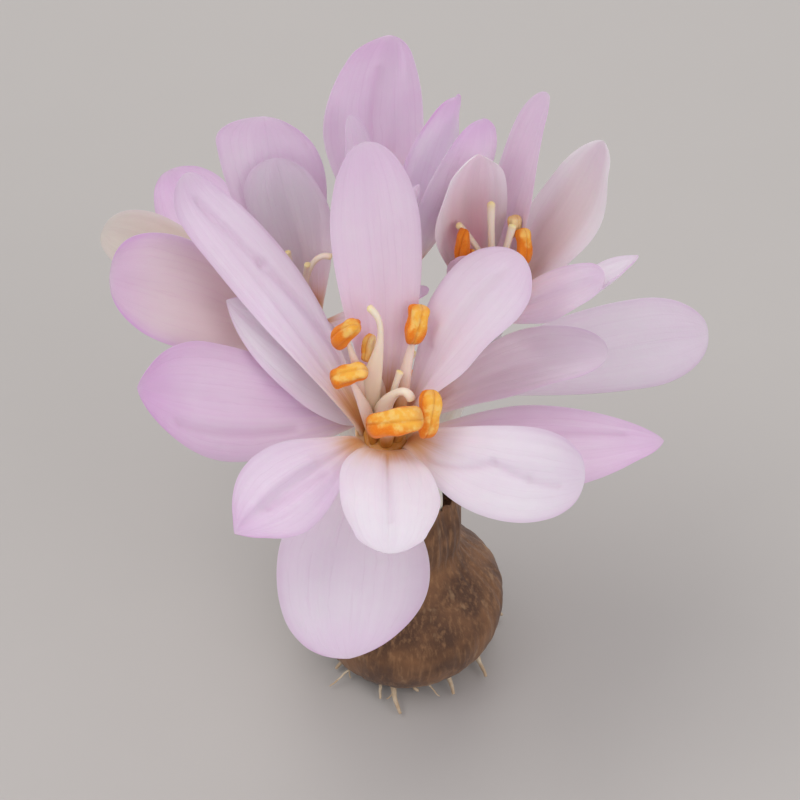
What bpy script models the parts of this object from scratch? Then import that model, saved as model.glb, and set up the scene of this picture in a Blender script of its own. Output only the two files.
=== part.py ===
# Autumn crocus clump: five lilac blooms on slender tubes, standing on the corm they grow from.
# Metres, +Z up. The origin is the centre of the small flat base that the corm stands on.
# The front of the clump looks along -Y, and +X is its right side.

import math
from collections import namedtuple

import bmesh
import bpy
import numpy as np
from mathutils import Matrix, Vector

# Clearance between neighbouring pieces, clearance round a tube in its hole, and the distance
# within which points are one point
GAP = 0.0003
HOLE_GAP = 0.0005
WELD = 0.000001

# Edges sharper than this angle stay sharp on the smooth pieces, and the points along each thread
SHARP_ANGLE = math.radians(50)
THREAD_POINTS = 5

# Corm: a turned body that narrows to a neck, with a plain hole in the neck for each tube
CORM_RADIUS = 0.0155
CORM_BASE_RADIUS = 0.0080
CORM_WIDEST_HEIGHT = 0.0110
CORM_SHOULDER_HEIGHT = 0.0255
NECK_RADIUS = 0.0080
NECK_FOOT_RADIUS = 0.0083
NECK_TOP = 0.0310
HOLE_DEPTH = 0.0040
HOLE_SIDES = 16
CORM_STEPS = 28
CORM_ROWS = 4

# Roots: short threads from inside the corm's base. The course gives each of a root's four control
# points as a share of its reach past the base's edge, a share of its curl, and a height. Stray and
# curl are the most that a root moves round from its even place, and ROOT_RATES keep them uneven.
ROOT_COUNT = 13
ROOT_RADIUS = 0.0005
ROOT_REACH = 0.0064
ROOT_REACH_SPREAD = 0.0024
ROOT_STRAY = 0.14
ROOT_CURL = 0.2
ROOT_RATES = (3.7, 5.1, 2.3)
ROOT_COURSE = ((-0.2, 0.0, 0.0030), (0.4, 0.0, 0.0035), (0.8, 0.5, 0.0020), (1.0, 1.0, 0.0008))
ROOT_TAPER = (1.3, 1.2, 1.0, 0.8, 0.6)

# Perianth tube: slender, with a flared mouth that the six tepals stand on. The flare gives shares
# of the mouth's height, and of the way from the tube's radius to the mouth's.
TUBE_RADIUS = 0.0017
MOUTH_RADIUS = 0.0030
MOUTH_HEIGHT = 0.0030
MOUTH_FLARE = ((0.4, 0.25), (0.75, 0.7), (1.0, 1.0))
TUBE_RISE = 0.0150
TUBE_DROP = 0.0070
TUBE_POINTS = 9

# Tepal: a narrow claw on the mouth, then a thin blade. CLAW_SHARE of its length is claw, its
# margins end at BLADE_END and its tip at its full length. BEND_POWER draws its bend towards the
# tip, and TIP_POWER the round of its rows. EVEN_ROWS is the part of the row spacing that is even.
TEPAL_THICKNESS = 0.0006
CLAW_HALF_WIDTH = 0.0008
CLAW_RING = 0.0025
CLAW_SHARE = 0.14
BLADE_END = 0.95
BEND_POWER = 1.5
TIP_POWER = 4
EVEN_ROWS = 0.35
MIDRIB_READINGS = 201
ACROSS = 6
ALONG = 9

# Stamens: a small disc on the mouth, and six filaments, each with an anther across its end. A
# filament leaves the disc upright for FILAMENT_LIFT of its anther's height, and comes in to the
# anther by way of the point that is FILAMENT_LEAN of the anther's place.
DISC_RADIUS = 0.0017
DISC_HEIGHT = 0.0006
FILAMENT_RADIUS = 0.0005
FILAMENT_RING = 0.00135
FILAMENT_LIFT = 0.55
FILAMENT_LEAN = (0.85, 0.85, 0.75)
DISC_SIDES = 12
ANTHER_LENGTH = 0.0056
ANTHER_SLIMNESS = 0.4
ANTHER_SIDES = 6
ANTHER_ROWS = 5

# Styles: three threads that start together over the disc, a little thicker towards their tips.
# Each leaves the disc upright for STYLE_LIFT of its tip's height.
STYLE_RADIUS = 0.00045
STYLE_RING = 0.00025
STYLE_LIFT = 0.3
STYLE_TAPER = (0.75, 0.9, 1.0, 1.1, 1.2)

# Each bloom: the middle of its mouth, where its tube stands in the neck, how far the tube bows
# sideways below the mouth, and how much wider than the usual size its mouth is
Bloom = namedtuple("Bloom", "mouth foot bow spread", defaults=(1.0,))

BLOOMS = {
    "front": Bloom((-0.0030, -0.0120, 0.0595), (0.0040, -0.0025), (0.0075, 0.0014), 1.4),
    "low": Bloom((-0.0015, -0.0025, 0.0525), (-0.0008, -0.0035), (0.0002, -0.0003)),
    "left": Bloom((-0.0155, 0.0095, 0.0605), (-0.0045, 0.0005), (0.0033, -0.0027)),
    "back": Bloom((-0.0025, 0.0150, 0.0660), (-0.0015, 0.0045), (0.0003, -0.0031)),
    "right": Bloom((0.0130, 0.0080, 0.0660), (0.0030, 0.0030), (-0.0030, -0.0015)),
}

# Each tepal, in degrees and metres. seat: its place round the mouth. bearing: the way its blade
# points, from +X towards +Y. sway: how far it turns sideways on the way to its tip. rise: its
# angle above level. bend: how far it curves up, or down if negative. roll and twist: how it lies
# about its own midrib. widest: where along it is broadest. point: 0.5 is a round tip, and more is
# sharper. lean: how far its tip is pulled sideways. skew: how much further along one margin is
# broadest than the other. cup: half the arc of its cross-section. start: the rise its claw leaves
# the mouth at. swell: above 1, it stays narrow for longer.
Tepal = namedtuple(
    "Tepal",
    "seat bearing sway rise bend roll twist length width widest point lean skew cup start swell",
    defaults=(0.5, 0.0, 0.0, 18, 80, 1.2),
)

TEPALS = {
    "front": [
        Tepal(95, 88, 16, 75, -6, -10, 5, 0.0440, 0.0130, 0.68, 0.45, -0.0010, 0.0),
        Tepal(155, 136, 9, 42, -7, 5, 10, 0.0455, 0.0106, 0.68, 0.45, 0.0, -0.1, swell=1.25),
        Tepal(215, 231, 11, 17, 2, 21, 4, 0.0340, 0.0130, 0.64, 0.95, -0.0005, -0.05, swell=1.55),
        Tepal(275, 271, -1, 25, -9, 10, -6, 0.0330, 0.0142, 0.52, 0.4, 0.0, -0.05, swell=0.7),
        Tepal(335, 317, 12, 7, 25, -33, -6, 0.0325, 0.0140, 0.64, 0.35, -0.0010, 0.0, swell=1.1),
        Tepal(35, 21, 5, 67, -20, 15, -31, 0.0335, 0.0142, 0.72, 0.5, 0.0015, 0.05),
    ],
    "low": [
        Tepal(110, 211, -53, 44, -9, 38, -5, 0.0335, 0.0136, 0.48, 0.85, 0.0010, 0.15, swell=1.5),
        Tepal(170, 200, 6, 20, 19, 35, 8, 0.0425, 0.0170, 0.70, 0.7, 0.0, 0.05),
        Tepal(230, 259, 17, -7, 10, 23, -29, 0.0415, 0.0224, 0.66, 0.45, 0.0020, -0.05, start=20, swell=1.5),
        Tepal(295, 337, 22, 10, 4, -16, 4, 0.0400, 0.0138, 0.54, 0.75, 0.0, 0.05, start=25),
        Tepal(355, 8, -22, 41, -26, -5, -7, 0.0340, 0.0114, 0.64, 0.45, 0.0010, 0.0),
        Tepal(55, 12, -10, 12, -7, -61, -5, 0.0475, 0.0138, 0.80, 0.45, -0.0005, 0.0, swell=1.5),
    ],
    "left": [
        Tepal(100, 126, -10, 74, 13, 15, 15, 0.0350, 0.0148, 0.80, 0.4, -0.0010, -0.1, swell=1.25),
        Tepal(158, 130, -13, 10, 0, 10, 5, 0.0340, 0.0132, 0.64, 0.55, -0.0005, 0.1, start=50),
        Tepal(210, 148, -5, 16, -30, 32, 4, 0.0360, 0.0106, 0.68, 0.5, 0.0, 0.05),
        Tepal(265, 190, 9, 34, -2, 32, 2, 0.0340, 0.0170, 0.66, 0.35, 0.0005, 0.05),
        Tepal(340, 337, -7, 37, 5, 5, 1, 0.0240, 0.0076, 0.64),
        Tepal(45, 143, 3, 78, 1, 40, 19, 0.0295, 0.0118, 0.74, 0.45, -0.0005, -0.05),
    ],
    "back": [
        Tepal(95, 112, 12, 65, 51, 8, 13, 0.0425, 0.0150, 0.54, 0.5, 0.0010, -0.05),
        Tepal(160, 175, -2, 86, -5, 25, 2, 0.0300, 0.0070, 0.64),
        Tepal(215, 252, 4, 74, 4, -20, -3, 0.0290, 0.0060, 0.64),
        Tepal(275, 292, -3, 72, 0, -24, 1, 0.0280, 0.0080, 0.64),
        Tepal(335, 348, -11, 58, 31, 12, 26, 0.0365, 0.0106, 0.54, 0.6, 0.0005, -0.05, cup=30),
        Tepal(35, 351, -22, 83, -19, 3, 16, 0.0375, 0.0112, 0.60, 0.85, cup=40, swell=1.25),
    ],
    "right": [
        Tepal(95, 39, -31, 80, -6, -7, 6, 0.0370, 0.0106, 0.62, 0.5, 0.0005, -0.05, swell=1.25),
        Tepal(155, 135, -1, 76, 52, 15, 6, 0.0335, 0.0128, 0.56, 0.55, -0.0040, 0.05, cup=45, swell=1.4),
        Tepal(215, 246, 4, 74, -1, -17, -2, 0.0200, 0.0080, 0.64),
        Tepal(275, 319, 4, 44, 4, -36, -10, 0.0275, 0.0080, 0.60, 0.45, 0.0, 0.05),
        Tepal(335, 333, -21, 35, 27, -6, -12, 0.0320, 0.0084, 0.60, 0.8, 0.0005, 0.0),
        Tepal(35, 348, 0, 62, 18, -35, -24, 0.0355, 0.0114, 0.52, 0.6, 0.0005, 0.05),
    ],
}

# Each bloom's anthers, in the order of the tepals that they stand before. middle is seen from
# the middle of the mouth, bearing and rise are those of the anther's long axis, and slimness is
# its width as a share of its length.
Anther = namedtuple(
    "Anther",
    "middle bearing rise length slimness",
    defaults=(ANTHER_LENGTH, ANTHER_SLIMNESS),
)

ANTHERS = {
    "front": [
        Anther((-0.0022, 0.0040, 0.0145), 80, 61, 0.0040, 0.45),
        Anther((-0.0055, 0.0031, 0.0183), 0, 50, 0.0056, 0.56),
        Anther((-0.0050, -0.0005, 0.0138), 15, 12, 0.0054, 0.56),
        Anther((0.0014, -0.0070, 0.0110), 5, 12, 0.0076, 0.45),
        Anther((0.0062, -0.0045, 0.0099), 80, 62, 0.0068, 0.38),
        Anther((0.0044, 0.0060, 0.0172), 70, 60, 0.0056, 0.55),
    ],
    "low": [
        Anther((0.0010, 0.0052, 0.0080), 80, 60),
        Anther((-0.0019, 0.0035, 0.0121), 110, 61),
        Anther((-0.0011, 0.0006, 0.0102), 200, 75),
        Anther((0.0026, 0.0003, 0.0080), 20, 75),
        Anther((0.0049, 0.0006, 0.0075), 0, 65),
        Anther((0.0042, 0.0040, 0.0090), 50, 60),
    ],
    "left": [
        Anther((-0.0037, 0.0010, 0.0072), 100, 65),
        Anther((-0.0065, 0.0011, 0.0105), 150, 60),
        Anther((-0.0094, -0.0054, 0.0060), 109, 32),
        Anther((-0.0012, -0.0019, 0.0072), 240, 70),
        Anther((0.0012, -0.0026, 0.0053), 300, 50),
        Anther((0.0031, -0.0005, 0.0047), 330, 40),
    ],
    "back": [
        Anther((0.0000, 0.0031, 0.0131), 90, 75, 0.0046),
        Anther((-0.0011, 0.0007, 0.0092), 120, 76, 0.0046),
        Anther((-0.0003, -0.0025, 0.0140), 270, 80, 0.0046),
        Anther((0.0000, -0.0016, 0.0089), 270, 80, 0.0046),
        Anther((0.0008, -0.0032, 0.0106), 330, 75, 0.0046),
        Anther((0.0023, 0.0041, 0.0133), 30, 75, 0.0046),
    ],
    "right": [
        Anther((0.0016, 0.0003, 0.0149), 90, 73),
        Anther((-0.0049, -0.0027, 0.0153), 79, 77),
        Anther((-0.0031, -0.0024, 0.0115), 250, 71),
        Anther((0.0023, -0.0031, 0.0108), 290, 70),
        Anther((0.0020, -0.0043, 0.0087), 320, 60),
        Anther((0.0038, -0.0021, 0.0146), 109, 73),
    ],
}

# The three styles of each bloom: the point that each is drawn towards, its tip, and how far
# sideways it bows near its foot
Style = namedtuple("Style", "towards tip bow", defaults=((0.0, 0.0),))

STYLES = {
    "front": [
        Style((0.0012, 0.0030, 0.0190), (-0.0024, 0.0045, 0.0222), (-0.0030, 0.0002)),
        Style((0.0025, -0.0010, 0.0150), (0.0038, -0.0024, 0.0105), (-0.0030, 0.0)),
        Style((0.0014, 0.0015, 0.0100), (0.0022, 0.0022, 0.0118)),
    ],
    "low": [
        Style((0.0001, 0.0031, 0.0089), (-0.0006, 0.0051, 0.0125)),
        Style((0.0011, 0.0024, 0.0091), (0.0027, 0.0030, 0.0125)),
        Style((0.0008, 0.0020, 0.0090), (0.0012, 0.0034, 0.0130)),
    ],
    "left": [
        Style((0.0005, 0.0018, 0.0151), (0.0047, 0.0019, 0.0130)),
        Style((-0.0011, 0.0006, 0.0110), (-0.0018, 0.0010, 0.0150)),
        Style((0.0007, -0.0004, 0.0110), (0.0012, -0.0006, 0.0140)),
    ],
    "back": [
        Style((0.0012, -0.0002, 0.0110), (0.0006, -0.0004, 0.0150)),
        Style((0.0015, 0.0007, 0.0115), (0.0014, 0.0013, 0.0168)),
        Style((0.0017, 0.0015, 0.0113), (0.0011, 0.0002, 0.0151)),
    ],
    "right": [
        Style((-0.0010, -0.0030, 0.0140), (-0.0010, -0.0008, 0.0222)),
        Style((-0.0010, -0.0016, 0.0121), (-0.0058, -0.0006, 0.0178)),
        Style((0.0009, -0.0031, 0.0133), (0.0022, -0.0012, 0.0182)),
    ],
}

# Colour and roughness of each material
FINISHES = {
    "tepal_lilac": ((0.66, 0.48, 0.66, 1.0), 0.55),
    "tube_white": ((0.80, 0.76, 0.68, 1.0), 0.50),
    "anther_orange": ((0.85, 0.36, 0.03, 1.0), 0.70),
    "style_cream": ((0.85, 0.72, 0.38, 1.0), 0.50),
    "tunic_brown": ((0.16, 0.075, 0.03, 1.0), 0.75),
}


def clear_scene():
    for obj in list(bpy.data.objects):
        bpy.data.objects.remove(obj, do_unlink=True)


def new_collection(name):
    collection = bpy.data.collections.new(name)
    bpy.context.scene.collection.children.link(collection)
    return collection


def finish(name):
    """The Principled material of that name, made the first time it is asked for."""
    if name in bpy.data.materials:
        return bpy.data.materials[name]
    colour, roughness = FINISHES[name]
    material = bpy.data.materials.new(name)
    material.use_nodes = True
    shader = material.node_tree.nodes["Principled BSDF"]
    shader.inputs["Base Color"].default_value = colour
    shader.inputs["Roughness"].default_value = roughness
    shader.inputs["Metallic"].default_value = 0.0
    material.diffuse_color = colour
    return material


def add_object(name, data, collection):
    obj = bpy.data.objects.new(name, data)
    collection.objects.link(obj)
    return obj


def add_mesh_object(name, bm, collection):
    """A mesh object that takes over the bmesh."""
    mesh = bpy.data.meshes.new(name)
    bm.to_mesh(mesh)
    bm.free()
    return add_object(name, mesh, collection)


def evaluated_mesh(obj):
    """The object's mesh with its modifiers or bevel applied, and its caps and seams welded."""
    bpy.context.view_layer.update()
    graph = bpy.context.evaluated_depsgraph_get()
    mesh = bpy.data.meshes.new_from_object(obj.evaluated_get(graph))
    bm = bmesh.new()
    bm.from_mesh(mesh)
    bmesh.ops.remove_doubles(bm, verts=bm.verts, dist=WELD)
    bm.to_mesh(mesh)
    bm.free()
    return mesh


def add_thread(name, points, radii, collection, resolution):
    """A closed tube along the points, with a radius for each: a bevelled curve made a mesh."""
    curve = bpy.data.curves.new(name, "CURVE")
    curve.dimensions = "3D"
    curve.bevel_depth = 1.0
    curve.bevel_resolution = resolution
    curve.use_fill_caps = True
    spline = curve.splines.new("POLY")
    spline.points.add(len(points) - 1)
    for spot, point, radius in zip(spline.points, points, radii):
        spot.co = (*point, 1.0)
        spot.radius = radius
    guide = add_object(name, curve, collection)
    mesh = evaluated_mesh(guide)
    placed = guide.matrix_world.copy()
    bpy.data.objects.remove(guide, do_unlink=True)
    obj = add_object(name, mesh, collection)
    obj.matrix_world = placed
    return obj


def add_boolean(obj, operation, collection):
    modifier = obj.modifiers.new(operation.title(), "BOOLEAN")
    modifier.operation = operation
    modifier.operand_type = "COLLECTION"
    modifier.collection = collection
    modifier.solver = "EXACT"


def join(obj, collection):
    """Joins every object of the collection to obj, in one union, and removes them."""
    add_boolean(obj, "UNION", collection)
    mesh = evaluated_mesh(obj)
    obj.modifiers.clear()
    obj.data = mesh
    for used in list(collection.objects):
        bpy.data.objects.remove(used, do_unlink=True)


def cubic(points, count):
    """Evenly spaced readings of the cubic curve with these four control points."""
    a, b, c, d = (np.array(point, dtype=float) for point in points)
    t = np.linspace(0.0, 1.0, count)[:, None]
    return a * (1 - t) ** 3 + 3 * b * t * (1 - t) ** 2 + 3 * c * t**2 * (1 - t) + d * t**3


def direction(bearing, rise):
    """Unit vectors for bearings and rises in radians."""
    level = np.cos(rise)
    return np.stack([level * np.cos(bearing), level * np.sin(bearing), np.sin(rise)], axis=-1)


def around(turn, radius, height=0.0):
    """The point at that radius from the Z axis, turn radians from +X."""
    return np.array([radius * math.cos(turn), radius * math.sin(turn), height])


def tepal_angles(tepal, s):
    """Bearing and rise, in radians, of a tepal's midrib at the shares s of its length."""
    fall = (1.0 - np.clip(s / CLAW_SHARE, 0.0, 1.0)) ** 2
    turn = (tepal.seat - tepal.bearing + 180.0) % 360.0 - 180.0
    bearing = tepal.bearing + tepal.sway * s + turn * fall
    rise = tepal.rise + tepal.bend * s**BEND_POWER + (tepal.start - tepal.rise) * fall
    return np.radians(bearing), np.radians(rise)


def half_width(tepal, spread, u, s):
    """A sine swelling from the claw to the broadest place, then a curve in to the tip."""
    full = tepal.width / 2
    claw = CLAW_HALF_WIDTH * spread
    widest = tepal.widest + tepal.skew * u
    swelling = np.sin(0.5 * math.pi * np.clip(s / widest, 0.0, 1.0)) ** tepal.swell
    after = np.clip((s - widest) / (1.0 - widest), 0.0, 1.0)
    upper = full * (1.0 - after**2) ** tepal.point
    return np.where(s < widest, claw + (full - claw) * swelling, upper)


def midrib(tepal, spread, s):
    """Points of the midrib at the shares s: its direction, summed up from the claw's foot."""
    fine = np.linspace(0.0, 1.0, MIDRIB_READINGS)
    way = direction(*tepal_angles(tepal, fine))
    steps = (way[1:] + way[:-1]) / 2 * np.diff(fine)[:, None] * tepal.length
    spine = np.concatenate([np.zeros((1, 3)), np.cumsum(steps, axis=0)])
    height = GAP + TEPAL_THICKNESS / 2 * math.cos(math.radians(tepal.start))
    foot = around(math.radians(tepal.seat), CLAW_RING * spread, height)
    return foot + np.stack([np.interp(s, fine, spine[:, axis]) for axis in range(3)], axis=-1)


def tepal_points(tepal, spread, u, v):
    """The tepal's middle surface, with u from -1 to 1 across it and v from 0 to 1 along it.

    Each cross-section is an arc as long as the tepal is wide, square to the midrib, turned about
    it by the roll and the twist, and shifted sideways by the lean. The rows lie closer near the
    claw and the tip, where they also curve forward, so that the end is round.
    """
    row = EVEN_ROWS * v + (1.0 - EVEN_ROWS) * v**2 * (3.0 - 2.0 * v)
    s = BLADE_END * row + (1.0 - BLADE_END) * row**TIP_POWER * (1.0 - u**2)
    bearing, rise = tepal_angles(tepal, s)
    level = np.stack([np.sin(bearing), -np.cos(bearing), np.zeros_like(s)], axis=-1)
    inner = np.cross(level, direction(bearing, rise))
    turned = np.radians(tepal.roll + tepal.twist * s) * np.clip(s / CLAW_SHARE, 0.0, 1.0)
    cosine, sine = np.cos(turned)[:, None], np.sin(turned)[:, None]
    across = level * cosine + inner * sine
    normal = inner * cosine - level * sine
    arc = math.radians(tepal.cup)
    radius = (half_width(tepal, spread, u, s) / arc)[:, None]
    swing = arc * u[:, None]
    middle = midrib(tepal, spread, s) + across * (tepal.lean * s**2)[:, None]
    return middle + radius * (across * np.sin(swing) + normal * (1.0 - np.cos(swing)))


def make_tepal(name, tepal, spread, collection):
    """A flat grid laid on the tepal's surface, split into triangles and thickened both ways."""
    bm = bmesh.new()
    bmesh.ops.create_grid(bm, x_segments=ACROSS, y_segments=ALONG, size=1.0)
    flat = np.array([vert.co for vert in bm.verts])
    placed = tepal_points(tepal, spread, flat[:, 0], (flat[:, 1] + 1.0) / 2)
    for vert, point in zip(bm.verts, placed):
        vert.co = point
    obj = add_mesh_object(name, bm, collection)
    obj.data.materials.append(finish("tepal_lilac"))
    obj.data.shade_smooth()
    obj.modifiers.new("Triangles", "TRIANGULATE")
    wall = obj.modifiers.new("Thickness", "SOLIDIFY")
    wall.thickness = TEPAL_THICKNESS
    wall.offset = 0.0
    return obj


def make_tube(name, bloom, collection):
    """Upright out of its hole, bowed over, and upright again into the flared mouth. Its points
    are seen from the middle of the mouth."""
    foot = np.array([*bloom.foot, NECK_TOP - HOLE_DEPTH + GAP]) - bloom.mouth
    top = np.array([0.0, 0.0, -MOUTH_HEIGHT])
    rise_out = foot + [0.0, 0.0, TUBE_RISE]
    drop_in = top + [*bloom.bow, -TUBE_DROP]
    points = list(cubic([foot, rise_out, drop_in, top], TUBE_POINTS))
    radii = [TUBE_RADIUS] * TUBE_POINTS
    for height, share in MOUTH_FLARE:
        points.append(top * (1.0 - height))
        radii.append(TUBE_RADIUS + (MOUTH_RADIUS * bloom.spread - TUBE_RADIUS) * share)
    obj = add_thread(name, points, radii, collection, resolution=3)
    obj.data.materials.append(finish("tube_white"))
    obj.data.shade_smooth()
    obj.data.set_sharp_from_angle(angle=SHARP_ANGLE)
    return obj


def add_anther(name, anther, collection):
    """A long ball, with its axis along the anther's bearing and rise."""
    axis = Vector(direction(math.radians(anther.bearing), math.radians(anther.rise)))
    size = Vector((anther.slimness, anther.slimness, 1.0)) * anther.length / 2
    placed = Matrix.LocRotScale(Vector(anther.middle), axis.to_track_quat("Z", "Y"), size)
    bm = bmesh.new()
    bmesh.ops.create_uvsphere(
        bm, u_segments=ANTHER_SIDES, v_segments=ANTHER_ROWS, radius=1.0, matrix=placed
    )
    add_mesh_object(name, bm, collection)


def make_stamens(key, spread, collection, joined):
    """The disc, with a filament before each tepal, and an anther across the filament's end."""
    bm = bmesh.new()
    bmesh.ops.create_cone(
        bm,
        cap_ends=True,
        segments=DISC_SIDES,
        radius1=DISC_RADIUS * spread,
        radius2=DISC_RADIUS * spread,
        depth=DISC_HEIGHT,
        matrix=Matrix.Translation((0.0, 0.0, GAP + DISC_HEIGHT / 2)),
    )
    obj = add_mesh_object(f"stamens_{key}", bm, collection)
    radii = [FILAMENT_RADIUS * spread] * THREAD_POINTS
    for index, (tepal, anther) in enumerate(zip(TEPALS[key], ANTHERS[key])):
        middle = np.array(anther.middle)
        foot = around(math.radians(tepal.seat), FILAMENT_RING * spread, GAP + DISC_HEIGHT / 2)
        handle = foot * [spread, spread, 1.0] + [0.0, 0.0, FILAMENT_LIFT * middle[2]]
        points = cubic([foot, handle, middle * FILAMENT_LEAN, middle], THREAD_POINTS)
        add_thread(f"filament_{index}", points, radii, joined, resolution=0)
        add_anther(f"anther_{index}", anther, joined)
    join(obj, joined)
    obj.data.materials.append(finish("anther_orange"))
    return obj


def make_styles(name, styles, collection, joined):
    """Three threads from one place over the disc, joined at their feet."""
    radii = [STYLE_RADIUS * share for share in STYLE_TAPER]
    threads = []
    for towards, tip, bow in styles:
        foot = around(math.atan2(tip[1], tip[0]), STYLE_RING, 2 * GAP + DISC_HEIGHT)
        handle = foot + [*bow, STYLE_LIFT * tip[2]]
        home = joined if threads else collection
        points = cubic([foot, handle, towards, tip], THREAD_POINTS)
        threads.append(add_thread(name, points, radii, home, resolution=1))
    join(threads[0], joined)
    threads[0].data.materials.append(finish("style_cream"))
    return threads[0]


def corm_profile():
    """The corm's outline as radius and height, from the neck's rim down to the base."""
    points = [(0.0, NECK_TOP), (NECK_RADIUS, NECK_TOP)]
    rise = CORM_SHOULDER_HEIGHT - CORM_WIDEST_HEIGHT
    for row in range(CORM_ROWS, 0, -1):
        share = row / CORM_ROWS
        ease = 0.5 - 0.5 * math.cos(math.pi * share)
        radius = CORM_RADIUS + (NECK_FOOT_RADIUS - CORM_RADIUS) * ease
        points.append((radius, CORM_WIDEST_HEIGHT + rise * share))
    for row in range(CORM_ROWS + 1):
        angle = row / CORM_ROWS * math.pi / 2
        radius = CORM_BASE_RADIUS + (CORM_RADIUS - CORM_BASE_RADIUS) * math.cos(angle)
        points.append((radius, CORM_WIDEST_HEIGHT * (1.0 - math.sin(angle))))
    points.append((0.0, 0.0))
    return points


def add_roots(joined):
    """Threads that leave the underside of the corm and spread out just above its base."""
    radii = [ROOT_RADIUS * share for share in ROOT_TAPER]
    for index in range(ROOT_COUNT):
        stray, curl, spread = (math.sin(rate * index) for rate in ROOT_RATES)
        turn = 2 * math.pi * index / ROOT_COUNT + ROOT_STRAY * stray
        reach = ROOT_REACH + ROOT_REACH_SPREAD * spread
        course = [
            around(turn + ROOT_CURL * curl * bend, CORM_BASE_RADIUS + reach * share, height)
            for share, bend, height in ROOT_COURSE
        ]
        add_thread(f"root_{index}", cubic(course, THREAD_POINTS), radii, joined, resolution=0)


def make_corm(collection, joined, cutters):
    """The turned body with its roots joined on, and a hole in its neck for each tube."""
    mesh = bpy.data.meshes.new("corm")
    outline = corm_profile()
    edges = [(index, index + 1) for index in range(len(outline) - 1)]
    mesh.from_pydata([(radius, 0.0, height) for radius, height in outline], edges, [])
    obj = add_object("corm", mesh, collection)
    turned = obj.modifiers.new("Turned", "SCREW")
    turned.steps = CORM_STEPS
    turned.render_steps = CORM_STEPS
    turned.use_merge_vertices = True
    turned.merge_threshold = WELD
    add_roots(joined)
    join(obj, joined)
    obj.data.materials.append(finish("tunic_brown"))
    obj.data.shade_smooth()
    obj.data.set_sharp_from_angle(angle=SHARP_ANGLE)

    for key, bloom in BLOOMS.items():
        bm = bmesh.new()
        bmesh.ops.create_cone(
            bm,
            cap_ends=True,
            segments=HOLE_SIDES,
            radius1=TUBE_RADIUS + HOLE_GAP,
            radius2=TUBE_RADIUS + HOLE_GAP,
            depth=2 * HOLE_DEPTH,
            matrix=Matrix.Translation((*bloom.foot, NECK_TOP)),
        )
        cutter = add_mesh_object(f"hole_{key}", bm, cutters)
        cutter.hide_render = True
        cutter.display_type = "WIRE"
    add_boolean(obj, "DIFFERENCE", cutters)


def make_bloom(key, bloom, collection, joined):
    """A tube, six tepals, stamens and styles, on an empty at the middle of the mouth."""
    centre = add_object(f"bloom_{key}", None, collection)
    centre.location = bloom.mouth
    centre.empty_display_size = MOUTH_RADIUS
    pieces = [make_tube(f"tube_{key}", bloom, collection)]
    for number, tepal in enumerate(TEPALS[key], start=1):
        pieces.append(make_tepal(f"tepal_{key}_{number}", tepal, bloom.spread, collection))
    pieces.append(make_stamens(key, bloom.spread, collection, joined))
    pieces.append(make_styles(f"styles_{key}", STYLES[key], collection, joined))
    for piece in pieces:
        piece.parent = centre


def main():
    clear_scene()
    clump = new_collection("autumn_crocus")
    cutters = new_collection("cutters")
    joined = new_collection("joined")
    make_corm(clump, joined, cutters)
    for key, bloom in BLOOMS.items():
        make_bloom(key, bloom, clump, joined)
    bpy.data.collections.remove(joined)


main()
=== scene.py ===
import math
from collections import namedtuple

import bmesh
import bpy
import numpy as np
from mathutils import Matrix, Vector


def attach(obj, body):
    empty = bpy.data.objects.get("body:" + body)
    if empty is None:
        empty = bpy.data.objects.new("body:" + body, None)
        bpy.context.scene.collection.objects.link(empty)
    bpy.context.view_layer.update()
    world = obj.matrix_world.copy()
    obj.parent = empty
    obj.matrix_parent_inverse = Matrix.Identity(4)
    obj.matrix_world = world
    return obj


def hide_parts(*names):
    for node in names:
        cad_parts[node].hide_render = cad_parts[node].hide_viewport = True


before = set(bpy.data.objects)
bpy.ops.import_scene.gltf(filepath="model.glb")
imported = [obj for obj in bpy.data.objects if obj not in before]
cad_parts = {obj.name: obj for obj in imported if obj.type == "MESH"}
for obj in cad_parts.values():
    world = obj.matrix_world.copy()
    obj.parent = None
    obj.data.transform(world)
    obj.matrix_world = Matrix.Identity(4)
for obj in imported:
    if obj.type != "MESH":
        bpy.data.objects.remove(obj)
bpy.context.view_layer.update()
print("solids loaded:", len(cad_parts))

scene = bpy.context.scene
scene.view_settings.view_transform = "Standard"

mm = 0.001

# How the clump is grown: these follow the solids, in metres
clump = {
    "gap": 0.0003,
    "neckTop": 0.031,
    "holeDepth": 0.004,
    "tubeRadius": 0.0017,
    "mouthRadius": 0.003,
    "mouthHeight": 0.003,
    "tubeRise": 0.015,
    "tubeDrop": 0.007,
    "clawHalfWidth": 0.0008,
    "clawRing": 0.0025,
    "clawShare": 0.14,  # of the petal's length
    "discHeight": 0.0006,
    "filamentRing": 0.00135,
    "styleRing": 0.00025,
}

# Each bloom: middle of its mouth, foot of its tube in the neck, sideways bow of the tube, and width
# of the mouth against the usual one
Bloom = namedtuple("Bloom", "mouth foot bow spread", defaults=(1,))

blooms = {
    "front": Bloom((-0.003, -0.012, 0.0595), (0.004, -0.0025), (0.0075, 0.0014), 1.4),
    "low": Bloom((-0.0015, -0.0025, 0.0525), (-0.0008, -0.0035), (0.0002, -0.0003)),
    "left": Bloom((-0.0155, 0.0095, 0.0605), (-0.0045, 0.0005), (0.0033, -0.0027)),
    "back": Bloom((-0.0025, 0.015, 0.066), (-0.0015, 0.0045), (0.0003, -0.0031)),
    "right": Bloom((0.013, 0.008, 0.066), (0.003, 0.003), (-0.003, -0.0015)),
}

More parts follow.
